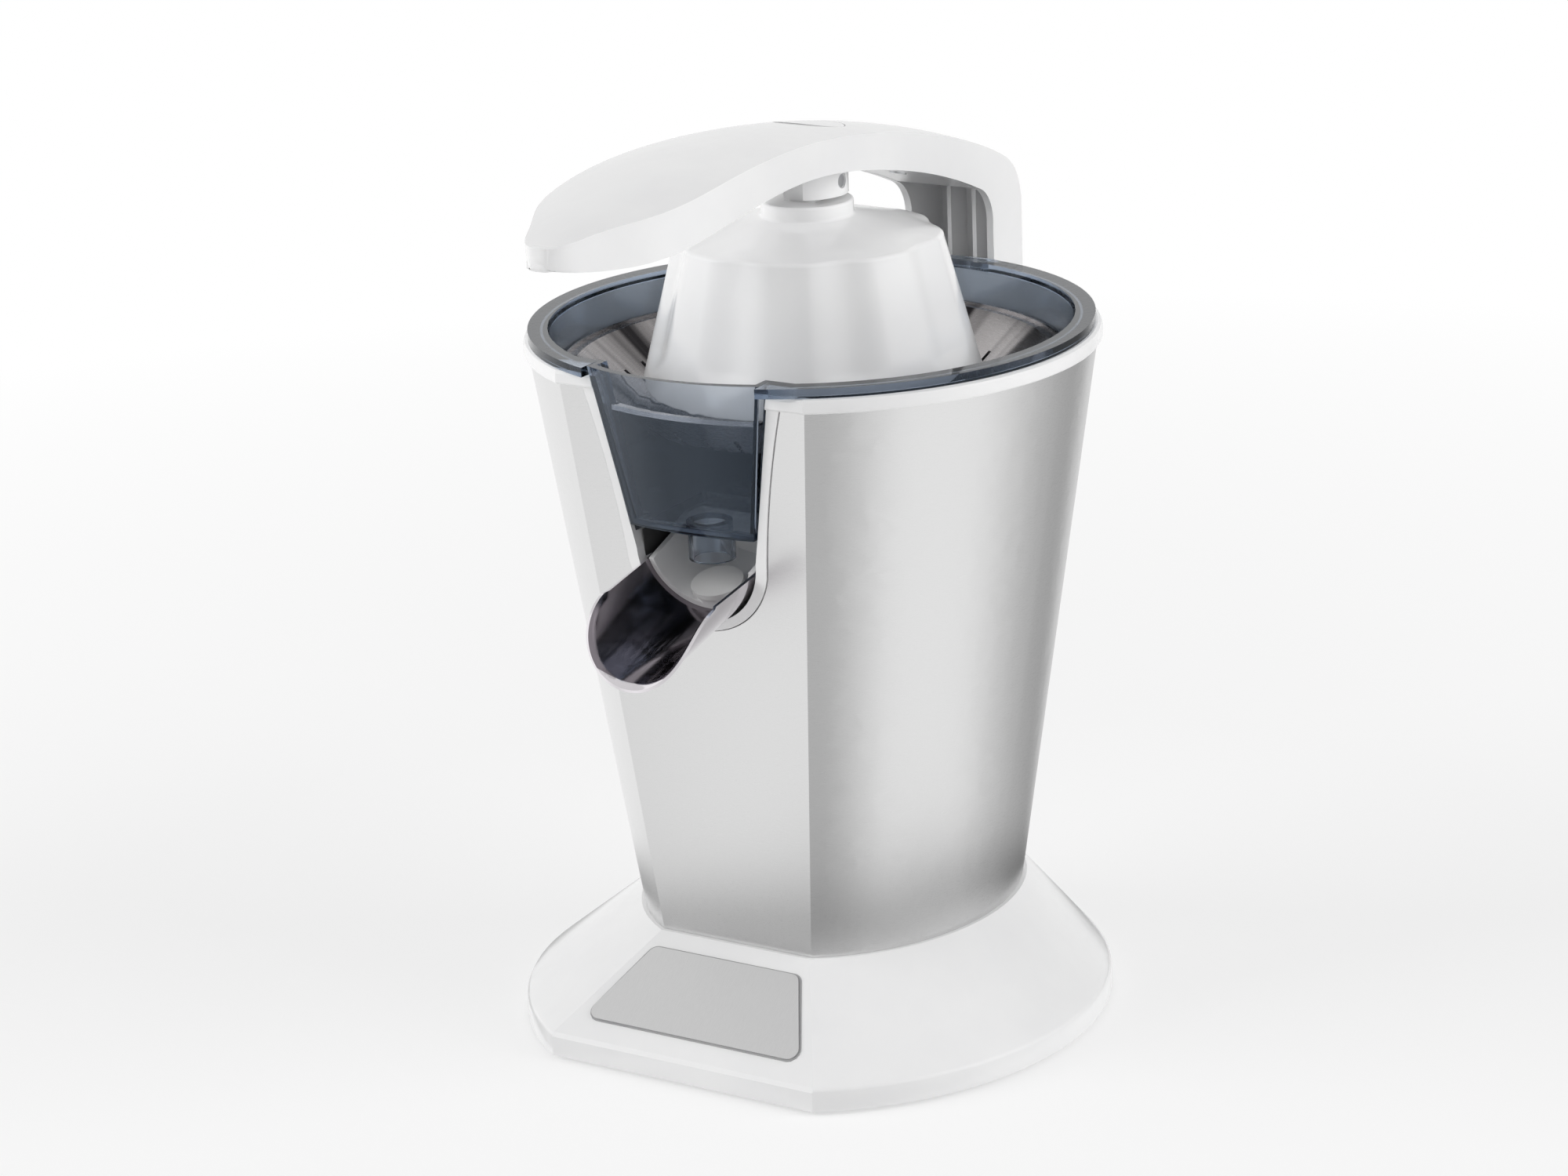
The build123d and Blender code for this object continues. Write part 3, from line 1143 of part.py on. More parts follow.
with BuildPart() as arm_cover:
    with BuildSketch(Plane.YZ):
        with BuildLine():
            Spline(*ARM_BELLY)
            Line(ARM_BELLY[-1], (ARM_BELLY[-1][0], ARM_BELLY[-1][1] + COVER_THICK))
            Spline(*[(y, z + COVER_THICK) for y, z in reversed(ARM_BELLY)])
            Line((ARM_BELLY[0][0], ARM_BELLY[0][1] + COVER_THICK), ARM_BELLY[0])
        make_face()
    extrude(amount=40, both=True)
    add(arm_plan(ARM_WALL + COVER_FIT), mode=Mode.INTERSECT)
    with Locations((0, 0, 270)):
        Cylinder(STEM_R + 0.2, 60, align=BOTTOM, mode=Mode.SUBTRACT)
    for y, z, lean in ARM_SCREW_SPOTS:
        up = (0, sin(radians(lean)), cos(radians(lean)))
        with Locations(Plane(origin=(0, y, z), x_dir=(1, 0, 0), z_dir=up)):
            Cylinder(1.6, 10, mode=Mode.SUBTRACT)
        with Locations(Plane(origin=(0, y, z), x_dir=(1, 0, 0), z_dir=up).offset(-3)):
            Cylinder(3.2, 4.2, align=BOTTOM, mode=Mode.SUBTRACT)
arm_cover.part.label = "arm_cover"
export_step(arm_cover.part, "parts/arm_cover.step")

with BuildPart() as arm_screws:
    for y, z, lean in ARM_SCREW_SPOTS:
        up = (0, sin(radians(lean)), cos(radians(lean)))
        with Locations(Plane(origin=(0, y, z), x_dir=(1, 0, 0), z_dir=up).offset(-0.4)):
            screw(1.45, 10, 2.9, 1.5)
arm_screws.part.label = "arm_screws"
export_step(arm_screws.part, "parts/arm_screws.step")

with BuildPart() as arm_cap:
    with Locations((0, CAP_CENTRE_Y, STEM_TOP_Z)):
        Cylinder(CAP_R, 30, align=BOTTOM)
    add(above_arm.part, mode=Mode.SUBTRACT)
    add(arm_outside.part.moved(Location((0, 0, -CAP_THICK))), mode=Mode.SUBTRACT)
arm_cap.part.label = "arm_cap"
export_step(arm_cap.part, "parts/arm_cap.step")

with BuildPart() as cup_stem:
    with Locations((0, 0, STEM_LOW_Z)):
        Cylinder(STEM_R, STEM_TOP_Z - STEM_LOW_Z, align=BOTTOM)
    with Locations((0, 0, STEM_LOW_Z)):
        Box(12.4, 40, 10.8, align=BOTTOM, mode=Mode.SUBTRACT)
    with Locations(Plane(origin=(0, 0, CUP_PIN_Z), z_dir=(1, 0, 0))):
        Cylinder(CUP_PIN_R, 40, mode=Mode.SUBTRACT)
    with Locations(*[(x, y, STEM_LOW_Z) for x, y in STEM_SCREW_XY]):
        Cylinder(1.3, 40, mode=Mode.SUBTRACT)
        Cylinder(2.5, 3.4, align=BOTTOM, mode=Mode.SUBTRACT)
cup_stem.part.label = "cup_stem"
export_step(cup_stem.part, "parts/cup_stem.step")

with BuildPart() as stem_screws:
    with Locations(*[(x, y, STEM_LOW_Z + 1.6) for x, y in STEM_SCREW_XY]):
        screw(1.15, 16, 2.4, 1.7)
stem_screws.part.label = "stem_screws"
export_step(stem_screws.part, "parts/stem_screws.step")

with BuildPart() as cup_pin:
    with Locations(Plane(origin=(0, 0, CUP_PIN_Z), z_dir=(1, 0, 0))):
        Cylinder(CUP_PIN_R, 26)
cup_pin.part.label = "cup_pin"
export_step(cup_pin.part, "parts/cup_pin.step")

BUSH_SPAN = (8.8, 16.4)
with BuildPart() as hinge_bushes:
    for start in (BUSH_SPAN[0], -BUSH_SPAN[1]):
        with Locations(hinge_plane.offset(start)):
            Cylinder(BUSH_OUT_R, BUSH_SPAN[1] - BUSH_SPAN[0], align=BOTTOM)
            Cylinder(HINGE_PIN_R + RUNNING, 20, align=BOTTOM, mode=Mode.SUBTRACT)
hinge_bushes.part.label = "hinge_bushes"
export_step(hinge_bushes.part, "parts/hinge_bushes.step")

# ---------------------------------------------------------------- press cup
FLUTE_R = 120.0
FLUTE_LOW = (56.6, 222.0)
FLUTE_HIGH = (43.1, 265.0)
flute_lean = sqrt((FLUTE_LOW[0] - FLUTE_HIGH[0]) ** 2 + (FLUTE_HIGH[1] - FLUTE_LOW[1]) ** 2)
flute_in = (FLUTE_HIGH[0] - FLUTE_LOW[0]) / flute_lean
flute_up = (FLUTE_HIGH[1] - FLUTE_LOW[1]) / flute_lean
flute_axis_r = (FLUTE_LOW[0] + FLUTE_HIGH[0]) / 2 + FLUTE_R * flute_up
flute_axis_z = (FLUTE_LOW[1] + FLUTE_HIGH[1]) / 2 - FLUTE_R * flute_in

with BuildPart() as cup:
    with BuildSketch(Plane.XZ):
        with BuildLine():
            Line((CUP_MOUTH_R, CUP_RIM_Z), (CUP_RIM_R, CUP_RIM_Z))
            Line((CUP_RIM_R, CUP_RIM_Z), (46.2, 261))
            ThreePointArc((46.2, 261), (43.8, 267), (38, 271.2))
            Polyline((38, 271.2), (15.5, 275), (15.5, 279.4), (14.9, 280), (0, 280), (0, 270.5))
            Line((0, 270.5), (35, 268.2))
            ThreePointArc((35, 268.2), (40.7, 264.8), (43, 259.8))
            Line((43, 259.8), (CUP_MOUTH_R, CUP_RIM_Z))
        make_face()
    revolve(axis=Axis.Z)
    with Locations(
        *[
            Plane(
                origin=(flute_axis_r * cos(turn), flute_axis_r * sin(turn), flute_axis_z),
                z_dir=(flute_in * cos(turn), flute_in * sin(turn), flute_up),
            )
            for turn in [2 * pi * k / CUP_FLUTES - pi / 2 for k in range(CUP_FLUTES)]
        ]
    ):
        Cylinder(FLUTE_R, 110, mode=Mode.SUBTRACT)
    with Locations((0, 0, 279)):
        Box(12, 10, CUP_PIN_Z - 279, align=BOTTOM)
    with Locations(Plane(origin=(0, 0, CUP_PIN_Z), z_dir=(1, 0, 0))):
        Cylinder(5.0, 12)
        Cylinder(CUP_PIN_R + RUNNING, 20, mode=Mode.SUBTRACT)
cup.part.label = "cup"
export_step(cup.part, "parts/cup.step")
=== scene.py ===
import json
from math import atan2, cos, pi, radians, sin, sqrt, tan

import bmesh
import bpy
from mathutils import Matrix, Vector


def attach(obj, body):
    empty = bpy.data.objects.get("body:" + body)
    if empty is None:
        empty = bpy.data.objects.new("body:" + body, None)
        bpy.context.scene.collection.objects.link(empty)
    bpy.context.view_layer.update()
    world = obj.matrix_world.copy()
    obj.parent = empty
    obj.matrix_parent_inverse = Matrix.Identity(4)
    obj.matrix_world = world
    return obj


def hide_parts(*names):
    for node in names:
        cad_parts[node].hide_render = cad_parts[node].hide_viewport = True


# Citrus press juicer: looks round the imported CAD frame.
# Row frame: +X right, +Y back, +Z up, metres, origin on the drive axis at the worktop.

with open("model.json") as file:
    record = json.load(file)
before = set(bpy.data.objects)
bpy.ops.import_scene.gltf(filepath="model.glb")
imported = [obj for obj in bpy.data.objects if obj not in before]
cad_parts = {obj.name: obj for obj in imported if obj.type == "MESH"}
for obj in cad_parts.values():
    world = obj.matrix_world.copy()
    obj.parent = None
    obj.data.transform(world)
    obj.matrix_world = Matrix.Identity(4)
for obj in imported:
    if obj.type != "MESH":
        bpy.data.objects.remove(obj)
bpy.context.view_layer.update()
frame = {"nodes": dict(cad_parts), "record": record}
nodes = frame["nodes"]
MM = 0.001


def add_object(name, data):
    """Puts a mesh, lamp or camera into the scene."""
    obj = bpy.data.objects.new(name, data)
    bpy.context.scene.collection.objects.link(obj)
    return obj


# ---------------------------------------------------------------- mesh building
class Shape:
    """Vertices and faces of one piece, in millimetres."""

    def __init__(self):
        self.points = []
        self.faces = []

    def row(self, points):
        """Adds points and gives their indices."""
        start = len(self.points)
        self.points.extend(points)
        return list(range(start, len(self.points)))

    def join(self, low, high, closed=True):
        """Quads between two rows of the same length."""
        count = len(low) if closed else len(low) - 1
        for i in range(count):
            k = (i + 1) % len(low)
            self.faces.append((low[i], low[k], high[k], high[i]))

    def skin(self, rows, closed=True, loop=False):
        """Quads through a list of point rows; loop also joins the last to the first."""
        made = [self.row(points) for points in rows]
        for low, high in zip(made, made[1:]):
            self.join(low, high, closed)
        if loop:
            self.join(made[-1], made[0], closed)
        return made

    def fill(self, ring):
        """One flat face over a ring of points."""
        self.faces.append(tuple(ring))

    def piece(self, name, material, body, stands_for=(), smooth=40, bevel=0.0, painted_shade_inside=None):
        """Makes the object, tidies its normals, and ties it to its body and slot.

        The optional second material, a painted shade, goes on the first faces made: (material, how
        many faces).
        """
        mesh = bpy.data.meshes.new(name)
        mesh.from_pydata([tuple(c * MM for c in p) for p in self.points], [], self.faces)
        obj = add_object(name, mesh)
        mesh.materials.append(material)
        if painted_shade_inside:
            mesh.materials.append(painted_shade_inside[0])
            for face in mesh.polygons[: painted_shade_inside[1]]:
                face.material_index = 1
        finish_mesh(obj, smooth, bevel)
        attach(obj, body)
        if stands_for:
            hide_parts(*stands_for)


MERGE_WITHIN = 0.005
PIECE_ROUND_STEPS = 3


def finish_mesh(obj, smooth, bevel):
    """Merges doubles, turns normals outwards, marks sharp edges, adds a small edge round."""
    work = bmesh.new()
    work.from_mesh(obj.data)
    bmesh.ops.remove_doubles(work, verts=work.verts, dist=MERGE_WITHIN * MM)
    bmesh.ops.recalc_face_normals(work, faces=work.faces)
    work.to_mesh(obj.data)
    work.free()
    obj.data.shade_smooth()
    obj.data.set_sharp_from_angle(angle=radians(smooth))
    if bevel:
        round_edges = obj.modifiers.new("edge_round", "BEVEL")
        round_edges.width = bevel * MM
        round_edges.segments = PIECE_ROUND_STEPS
        round_edges.limit_method = "ANGLE"
        round_edges.angle_limit = radians(smooth)
        round_edges.harden_normals = True
    weigh = obj.modifiers.new("face_weight", "WEIGHTED_NORMAL")
    weigh.keep_sharp = True


# ---------------------------------------------------------------- materials
def new_material(name):
    """A node material, its node tree and its shader."""
    material = bpy.data.materials.new(name)
    material.use_nodes = True
    tree = material.node_tree
    shader = tree.nodes["Principled BSDF"]
    return material, tree, shader


def node(tree, kind, **inputs):
    """Adds a node and sets its inputs by name, with _ for a space."""
    made = tree.nodes.new(kind)
    for name, value in inputs.items():
        made.inputs[name.replace("_", " ")].default_value = value
    return made


def operation_node(tree, kind, operation):
    """Adds a maths or vector maths node for one operation."""
    made = tree.nodes.new(kind)
    made.operation = operation
    return made


def object_noise(tree, scale, stretch=(1, 1, 1), detail=3.0, rough=0.5):
    """Noise fixed to the object, stretched along an axis by a small scale there."""
    place = tree.nodes.new("ShaderNodeTexCoord")
    mapping = tree.nodes.new("ShaderNodeMapping")
    mapping.inputs["Scale"].default_value = stretch
    noise = node(tree, "ShaderNodeTexNoise", Scale=scale, Detail=detail, Roughness=rough)
    tree.links.new(place.outputs["Object"], mapping.inputs["Vector"])
    tree.links.new(mapping.outputs["Vector"], noise.inputs["Vector"])
    return noise


def map_range(tree, source, source_low, source_high, low, high):
    """Maps one range of a source to another, held at its ends."""
    change = node(
        tree,
        "ShaderNodeMapRange",
        From_Min=source_low,
        From_Max=source_high,
        To_Min=low,
        To_Max=high,
    )
    tree.links.new(source, change.inputs["Value"])
    return change.outputs["Result"]


# Most of a noise lies this far from its middle value of a half.
NOISE_HALF_WIDTH = 0.2


def spread(tree, source, low, high):
    """Maps a noise to a number range."""
    return map_range(tree, source, 0.5 - NOISE_HALF_WIDTH, 0.5 + NOISE_HALF_WIDTH, low, high)


def blend_colour(tree, source, low, high, half_width=NOISE_HALF_WIDTH):
    """Maps a noise to colours between two ends."""
    ramp = tree.nodes.new("ShaderNodeValToRGB")
    ramp.color_ramp.elements[0].position = 0.5 - half_width
    ramp.color_ramp.elements[0].color = (*low, 1)
    ramp.color_ramp.elements[1].position = 0.5 + half_width
    ramp.color_ramp.elements[1].color = (*high, 1)
    tree.links.new(source, ramp.inputs["Fac"])
    return ramp.outputs["Color"]


def bump(tree, shader, source, strength, distance):
    """Gives the shader fine relief, distance in metres."""
    made = node(tree, "ShaderNodeBump", Strength=strength, Distance=distance)
    tree.links.new(source, made.inputs["Height"])
    tree.links.new(made.outputs["Normal"], shader.inputs["Normal"])


MOTTLE_SCALE = 38.0
GLOSS_SCALE = 14.0
SKIN_DEPTH = 0.00002
COAT_ROUGHNESS = 0.06


def moulded(name, low, high, roughness, coat=0.0, grain=900.0):
    """Moulded plastic or rubber: faint mottling, uneven gloss and a fine skin."""
    material, tree, shader = new_material(name)
    mottle = object_noise(tree, MOTTLE_SCALE)
    tree.links.new(blend_colour(tree, mottle.outputs["Fac"], low, high), shader.inputs["Base Color"])
    gloss = object_noise(tree, GLOSS_SCALE, detail=5.0)
    tree.links.new(
        spread(tree, gloss.outputs["Fac"], roughness - 0.03, roughness + 0.04),
        shader.inputs["Roughness"],
    )
    skin = object_noise(tree, grain, detail=2.0)
    bump(tree, shader, skin.outputs["Fac"], 0.25, SKIN_DEPTH)
    shader.inputs["Coat Weight"].default_value = coat
    shader.inputs["Coat Roughness"].default_value = COAT_ROUGHNESS
    return material


METAL_ROUGHNESS_SPREAD = 0.05


def metal(name, low, high, roughness, stretch=(1, 1, 1), scale=200.0, depth=0.00001):
    """Metal with drawn marks: noise stretched along the marks."""
    material, tree, shader = new_material(name)
    marks = object_noise(tree, scale, stretch, detail=6.0, rough=0.7)
    tree.links.new(blend_colour(tree, marks.outputs["Fac"], low, high), shader.inputs["Base Color"])
    tree.links.new(
        spread(
            tree,
            marks.outputs["Fac"],
            roughness - METAL_ROUGHNESS_SPREAD,
            roughness + METAL_ROUGHNESS_SPREAD,
        ),
        shader.inputs["Roughness"],
    )
    bump(tree, shader, marks.outputs["Fac"], 0.15, depth)
    shader.inputs["Metallic"].default_value = 1.0
    return material


PLASTIC_IOR = 1.49
SMOKE_TINT = (0.33, 0.42, 0.54, 1)
SMOKE_DENSITY = 230.0
COOL_GLINT = (0.66, 0.80, 1.0, 1)


def smoked_plastic():
    """Clear smoked plastic, blue grey, darker where more of it is looked through."""
    material, tree, shader = new_material("smoked_clear")
    haze = object_noise(tree, 30.0, detail=4.0)
    tint = blend_colour(tree, haze.outputs["Fac"], (0.93, 0.94, 0.95), (0.97, 0.98, 0.98))
    tree.links.new(tint, shader.inputs["Base Color"])
    tree.links.new(spread(tree, haze.outputs["Fac"], 0.02, 0.05), shader.inputs["Roughness"])
    shader.inputs["Transmission Weight"].default_value = 1.0
    shader.inputs["IOR"].default_value = PLASTIC_IOR
    shader.inputs["Specular Tint"].default_value = COOL_GLINT
    smoke = node(tree, "ShaderNodeVolumeAbsorption", Color=SMOKE_TINT, Density=SMOKE_DENSITY)
    tree.links.new(smoke.outputs[0], tree.nodes["Material Output"].inputs["Volume"])
    return material


# Painted reflection: streak colours for faces that look up, and a lighter colour for faces that look
# down.
PAINTED_REFLECTION_SCALE = 3.4
PAINTED_REFLECTION_DARK = (0.02, 0.018, 0.02)
PAINTED_REFLECTION_LIGHT = (0.44, 0.42, 0.42)
PAINTED_REFLECTION_HALF_WIDTH = 0.09
PAINTED_REFLECTION_UNDERSIDE = (0.72, 0.70, 0.72, 1)
MIX_COLOUR_A, MIX_COLOUR_B, MIX_RESULT = 6, 7, 2


def painted_reflection_streaks(tree):
    """Painted reflection: light and dark streaks that run out from the object's own Z axis."""
    place = tree.nodes.new("ShaderNodeTexCoord")
    flat = operation_node(tree, "ShaderNodeVectorMath", "MULTIPLY")
    flat.inputs[1].default_value = (1, 1, 0)
    around = operation_node(tree, "ShaderNodeVectorMath", "NORMALIZE")
    streaks = node(tree, "ShaderNodeTexNoise", Scale=PAINTED_REFLECTION_SCALE, Detail=3.0, Roughness=0.6)
    tree.links.new(place.outputs["Object"], flat.inputs[0])
    tree.links.new(flat.outputs["Vector"], around.inputs[0])
    tree.links.new(around.outputs["Vector"], streaks.inputs["Vector"])
    return blend_colour(
        tree, streaks.outputs["Fac"], PAINTED_REFLECTION_DARK, PAINTED_REFLECTION_LIGHT, PAINTED_REFLECTION_HALF_WIDTH
    )


def turned_steel():
    """Sheet spun on a lathe, finely ringed, with painted reflection streaks on top and a painted
    lighter reflection on its underside.
    """
    material, tree, shader = new_material("turned_steel")
    facing = tree.nodes.new("ShaderNodeNewGeometry")
    height = tree.nodes.new("ShaderNodeSeparateXYZ")
    tree.links.new(facing.outputs["Normal"], height.inputs[0])
    # Painted reflection by facing: the lighter colour where the face looks down, the streaks where
    # it looks up.
    painted_sides = tree.nodes.new("ShaderNodeMix")
    painted_sides.data_type = "RGBA"
    painted_sides.inputs[MIX_COLOUR_A].default_value = PAINTED_REFLECTION_UNDERSIDE
    tree.links.new(
        map_range(tree, height.outputs["Z"], -0.2, 0.2, 0.0, 1.0), painted_sides.inputs["Factor"]
    )
    tree.links.new(painted_reflection_streaks(tree), painted_sides.inputs[MIX_COLOUR_B])
    tree.links.new(painted_sides.outputs[MIX_RESULT], shader.inputs["Base Color"])
    rings = object_noise(tree, 260.0, (1, 1, 40), detail=5.0, rough=0.7)
    tree.links.new(spread(tree, rings.outputs["Fac"], 0.22, 0.32), shader.inputs["Roughness"])
    bump(tree, shader, rings.outputs["Fac"], 0.2, 0.00001)
    shader.inputs["Metallic"].default_value = 1.0
    return material


WHITE = moulded("gloss_white", (0.83, 0.83, 0.835), (0.86, 0.86, 0.86), 0.225, coat=0.3)
# The cup's copy of the white plastic is lighter as painted light, and glossier.
CUP_WHITE_PAINTED_LIGHT = moulded("cup_white_painted_light", (0.87, 0.87, 0.875), (0.90, 0.90, 0.90), 0.20, coat=0.4)
GREY = moulded("grey_plastic", (0.33, 0.33, 0.34), (0.38, 0.38, 0.38), 0.42)
RUBBER = moulded("dark_rubber", (0.035, 0.035, 0.037), (0.055, 0.055, 0.055), 0.62, grain=400.0)
SILICONE = moulded("white_silicone", (0.70, 0.70, 0.70), (0.75, 0.75, 0.74), 0.5)
NYLON = moulded("natural_nylon", (0.78, 0.75, 0.66), (0.82, 0.80, 0.72), 0.4)
STEEL = metal("brushed_steel", (0.74, 0.74, 0.74), (0.78, 0.78, 0.78), 0.30, (1, 1, 60), 400.0)
CHROME = metal("chrome", (0.78, 0.75, 0.78), (0.86, 0.83, 0.86), 0.12, scale=25.0, depth=0.00002)
TURNED = turned_steel()
PLATE_STEEL = metal("plate_steel", (0.70, 0.70, 0.70), (0.80, 0.80, 0.80), 0.34, (60, 1, 1), 300.0)
SMOKED_EDGE = moulded("smoked_edge", (0.012, 0.024, 0.045), (0.02, 0.036, 0.06), 0.09, coat=0.5)
# Darker copy of the chrome: painted shade for the spout's inside.
CHROME_PAINTED_SHADE = metal(
    "chrome_painted_shade", (0.22, 0.20, 0.22), (0.30, 0.27, 0.30), 0.13, scale=25.0, depth=0.00002
)
ZINC = metal("zinc_steel", (0.55, 0.56, 0.58), (0.68, 0.69, 0.70), 0.32, scale=300.0)
BRONZE = metal("bearing_bronze", (0.50, 0.33, 0.18), (0.60, 0.42, 0.24), 0.36, scale=500.0)
MOTOR = metal("motor_steel", (0.42, 0.43, 0.45), (0.52, 0.53, 0.54), 0.36, (1, 1, 20), 90.0)
COPPER = metal("copper_wire", (0.55, 0.22, 0.10), (0.72, 0.33, 0.16), 0.3, (1, 1, 60), 300.0)
SMOKED = smoked_plastic()

# The finish of each material slot of the record.
BY_SLOT = {
    "gloss_white": WHITE,
    "grey_plastic": GREY,
    "dark_rubber": RUBBER,
    "white_silicone": SILICONE,
    "natural_nylon": NYLON,
    "brushed_steel": STEEL,
    "chrome": CHROME,
    "zinc_steel": ZINC,
    "bearing_bronze": BRONZE,
    "motor_steel": MOTOR,
    "copper_wire": COPPER,
    "smoked_clear": SMOKED,
}

# Nodes whose finish differs from the rest of their slot.
BY_NODE = {"strainer": TURNED, "front_plate": PLATE_STEEL}

# Edge radius in millimetres, and the nodes where it isn't the usual one.
USUAL_EDGE = 0.3
EDGE_ROUND = {
    "arm_body": 0.5,
    "base_shell": 0.8,
    "top_frame": 0.7,
    "bowl": 0.5,
    "hinge_bracket": 1.2,
    "cup_stem": 0.6,
    "spout": 0.2,
    "strainer": 0.2,
    "steel_sleeve": 0.2,
}
WELD_WITHIN = 0.002
SHARP_ANGLE = radians(35)


def dress_frame():
    """Every CAD node gets its slot's material, a small edge round and even shading."""
    for part in frame["record"]["subparts"]:
        name = part["node"]
        cad_node = nodes[name]
        cad_node.data.materials.clear()
        cad_node.data.materials.append(BY_NODE.get(name, BY_SLOT[part["material_slot"]]))
        weld = cad_node.modifiers.new("weld", "WELD")
        weld.merge_threshold = WELD_WITHIN * MM
        round_edges = cad_node.modifiers.new("edge_round", "BEVEL")
        round_edges.width = EDGE_ROUND.get(name, USUAL_EDGE) * MM
        round_edges.segments = 2
        round_edges.limit_method = "ANGLE"
        round_edges.angle_limit = SHARP_ANGLE
        weigh = cad_node.modifiers.new("face_weight", "WEIGHTED_NORMAL")
        weigh.keep_sharp = True


# ---------------------------------------------------------------- press cup
CUP_FLUTES = 8
FLUTE_HALF = radians(15.0)
FLUTE_DEPTH = 2.3
# A flute starts at a round foot and reaches its full width this much higher.
FLUTE_END_Z = 226.0
FLUTE_END_HEIGHT = 9.0
FLUTE_DEEPENING = 1.4
FLUTE_SHARPNESS = 1.7
# Full flute depth is reached on the shoulder from this radius outwards.
FLUTE_INNER_R = 36.0
FLUTE_RUN_OUT = 6.4
STEPS_PER_FLUTE = 36


def flute_depth(turn, z):
    """How far the nearest flute sinks into the cup's wall at angle turn and height z."""
    step = 2 * pi / CUP_FLUTES
    offset = (turn + pi / 2 + step / 2) % step - step / 2
    rise = min(1.0, max(0.0, (z - FLUTE_END_Z) / FLUTE_END_HEIGHT))
    half = FLUTE_HALF * sqrt(1 - (1 - rise) ** 2) if rise else 0.0
    if abs(offset) >= half:
        return 0.0
    section = cos(pi / 2 * offset / half) ** FLUTE_SHARPNESS
    return FLUTE_DEPTH * min(1.0, FLUTE_DEEPENING * rise) * section


def arc_points(start, middle, end, steps):
    """Points on the circle through three points, from start to end."""
    (ax, ay), (bx, by), (cx, cy) = start, middle, end
    d = 2 * (ax * (by - cy) + bx * (cy - ay) + cx * (ay - by))
    aa, bb, cc = ax * ax + ay * ay, bx * bx + by * by, cx * cx + cy * cy
    ux = (aa * (by - cy) + bb * (cy - ay) + cc * (ay - by)) / d
    uy = (aa * (cx - bx) + bb * (ax - cx) + cc * (bx - ax)) / d
    first, via, last = [atan2(y - uy, x - ux) for x, y in (start, middle, end)]
    sweep = (last - first) % (2 * pi)
    if (via - first) % (2 * pi) > sweep:
        sweep -= 2 * pi
    radius = sqrt((ax - ux) ** 2 + (ay - uy) ** 2)
    turns = [first + sweep * k / steps for k in range(steps + 1)]
    return [(ux + radius * cos(t), uy + radius * sin(t)) for t in turns]


def straight(start, end, steps):
    """Points on the line from start to end."""
    return [tuple(a + (b - a) * k / steps for a, b in zip(start, end)) for k in range(steps + 1)]


# Corners of the cup's profile, each a radius and a height.
CUP_WALL_FOOT = (57.0, 220.6)
CUP_WALL_TOP = (45.0, 266.4)
CUP_ROOF_EDGE = (43.6, 268.3)
CUP_ROOF_TOP = (16.6, 274.8)
CUP_COLLAR_TOP_Z = 280
CUP_INSIDE_TOP = (43, 259.8)
LUG_HALF_X = 6.0
LUG_HALF_Y = 5
LUG_PIN_Z = 287


def cup_outside():
    """The cup's outer profile from its rim up to the top of its collar."""
    profile = arc_points((56.4, 219.3), (57.1, 219.1), (57.2, 219.8), 4)
    profile += straight(CUP_WALL_FOOT, CUP_WALL_TOP, 44)
    profile += arc_points(CUP_WALL_TOP, (44.6, 267.6), CUP_ROOF_EDGE, 6)[1:]
    profile += straight(CUP_ROOF_EDGE, CUP_ROOF_TOP, 12)[1:]
    profile += arc_points(CUP_ROOF_TOP, (15.7, 275.2), (15.5, 276), 4)[1:]
    profile += arc_points((15.5, 279.0), (15.2, 279.8), (14.5, CUP_COLLAR_TOP_Z), 4)
    return profile + [(6.2, CUP_COLLAR_TOP_Z)]


def cup_inside():
    """The cup's inner profile from its mouth up to the middle of its crown."""
    profile = [(54.1, 219.0)] + straight((53.9, 220), CUP_INSIDE_TOP, 6)
    profile += arc_points(CUP_INSIDE_TOP, (40.7, 264.8), (35, 268.2), 6)[1:]
    return profile + [(8, 270.3), (0.2, 270.5)]


def cup_ring(r, z, flute_share):
    """One level of the cup's wall, its flutes sunk by flute_share of their depth."""
    steps = CUP_FLUTES * STEPS_PER_FLUTE
    ring = []
    for k in range(steps):
        turn = 2 * pi * k / steps
        reach = r - flute_share * flute_depth(turn, z)
        ring.append((reach * cos(turn), reach * sin(turn), z))
    return ring


def build_cup():
    """Fluted cup with the lug that its pin goes through.

    The flutes cut the cone and its shoulder, so the top edge is scalloped.
    """
    rows = [cup_ring(r, z, 0.0) for r, z in reversed(cup_inside())]
    for r, z in cup_outside():
        flute_share = min(1.0, max(0.0, (r - FLUTE_INNER_R) / FLUTE_RUN_OUT))
        rows.append(cup_ring(r, z, flute_share))
    shape = Shape()
    made = shape.skin(rows)
    shape.fill(reversed(made[0]))
    lug_foot_z = CUP_COLLAR_TOP_Z - 0.5
    low, high = (-LUG_HALF_Y, LUG_PIN_Z), (LUG_HALF_Y, LUG_PIN_Z)
    outline = [(-LUG_HALF_Y, lug_foot_z)]
    outline += arc_points(low, (0, LUG_PIN_Z + LUG_HALF_Y), high, 14)
    outline.append((LUG_HALF_Y, lug_foot_z))
    ends = shape.skin([[(x, y, z) for y, z in outline] for x in (-LUG_HALF_X, LUG_HALF_X)])
    shape.fill(reversed(ends[0]))
    shape.fill(ends[1])
    shape.piece("press_cup", CUP_WHITE_PAINTED_LIGHT, "cup", ["cup"], smooth=50)


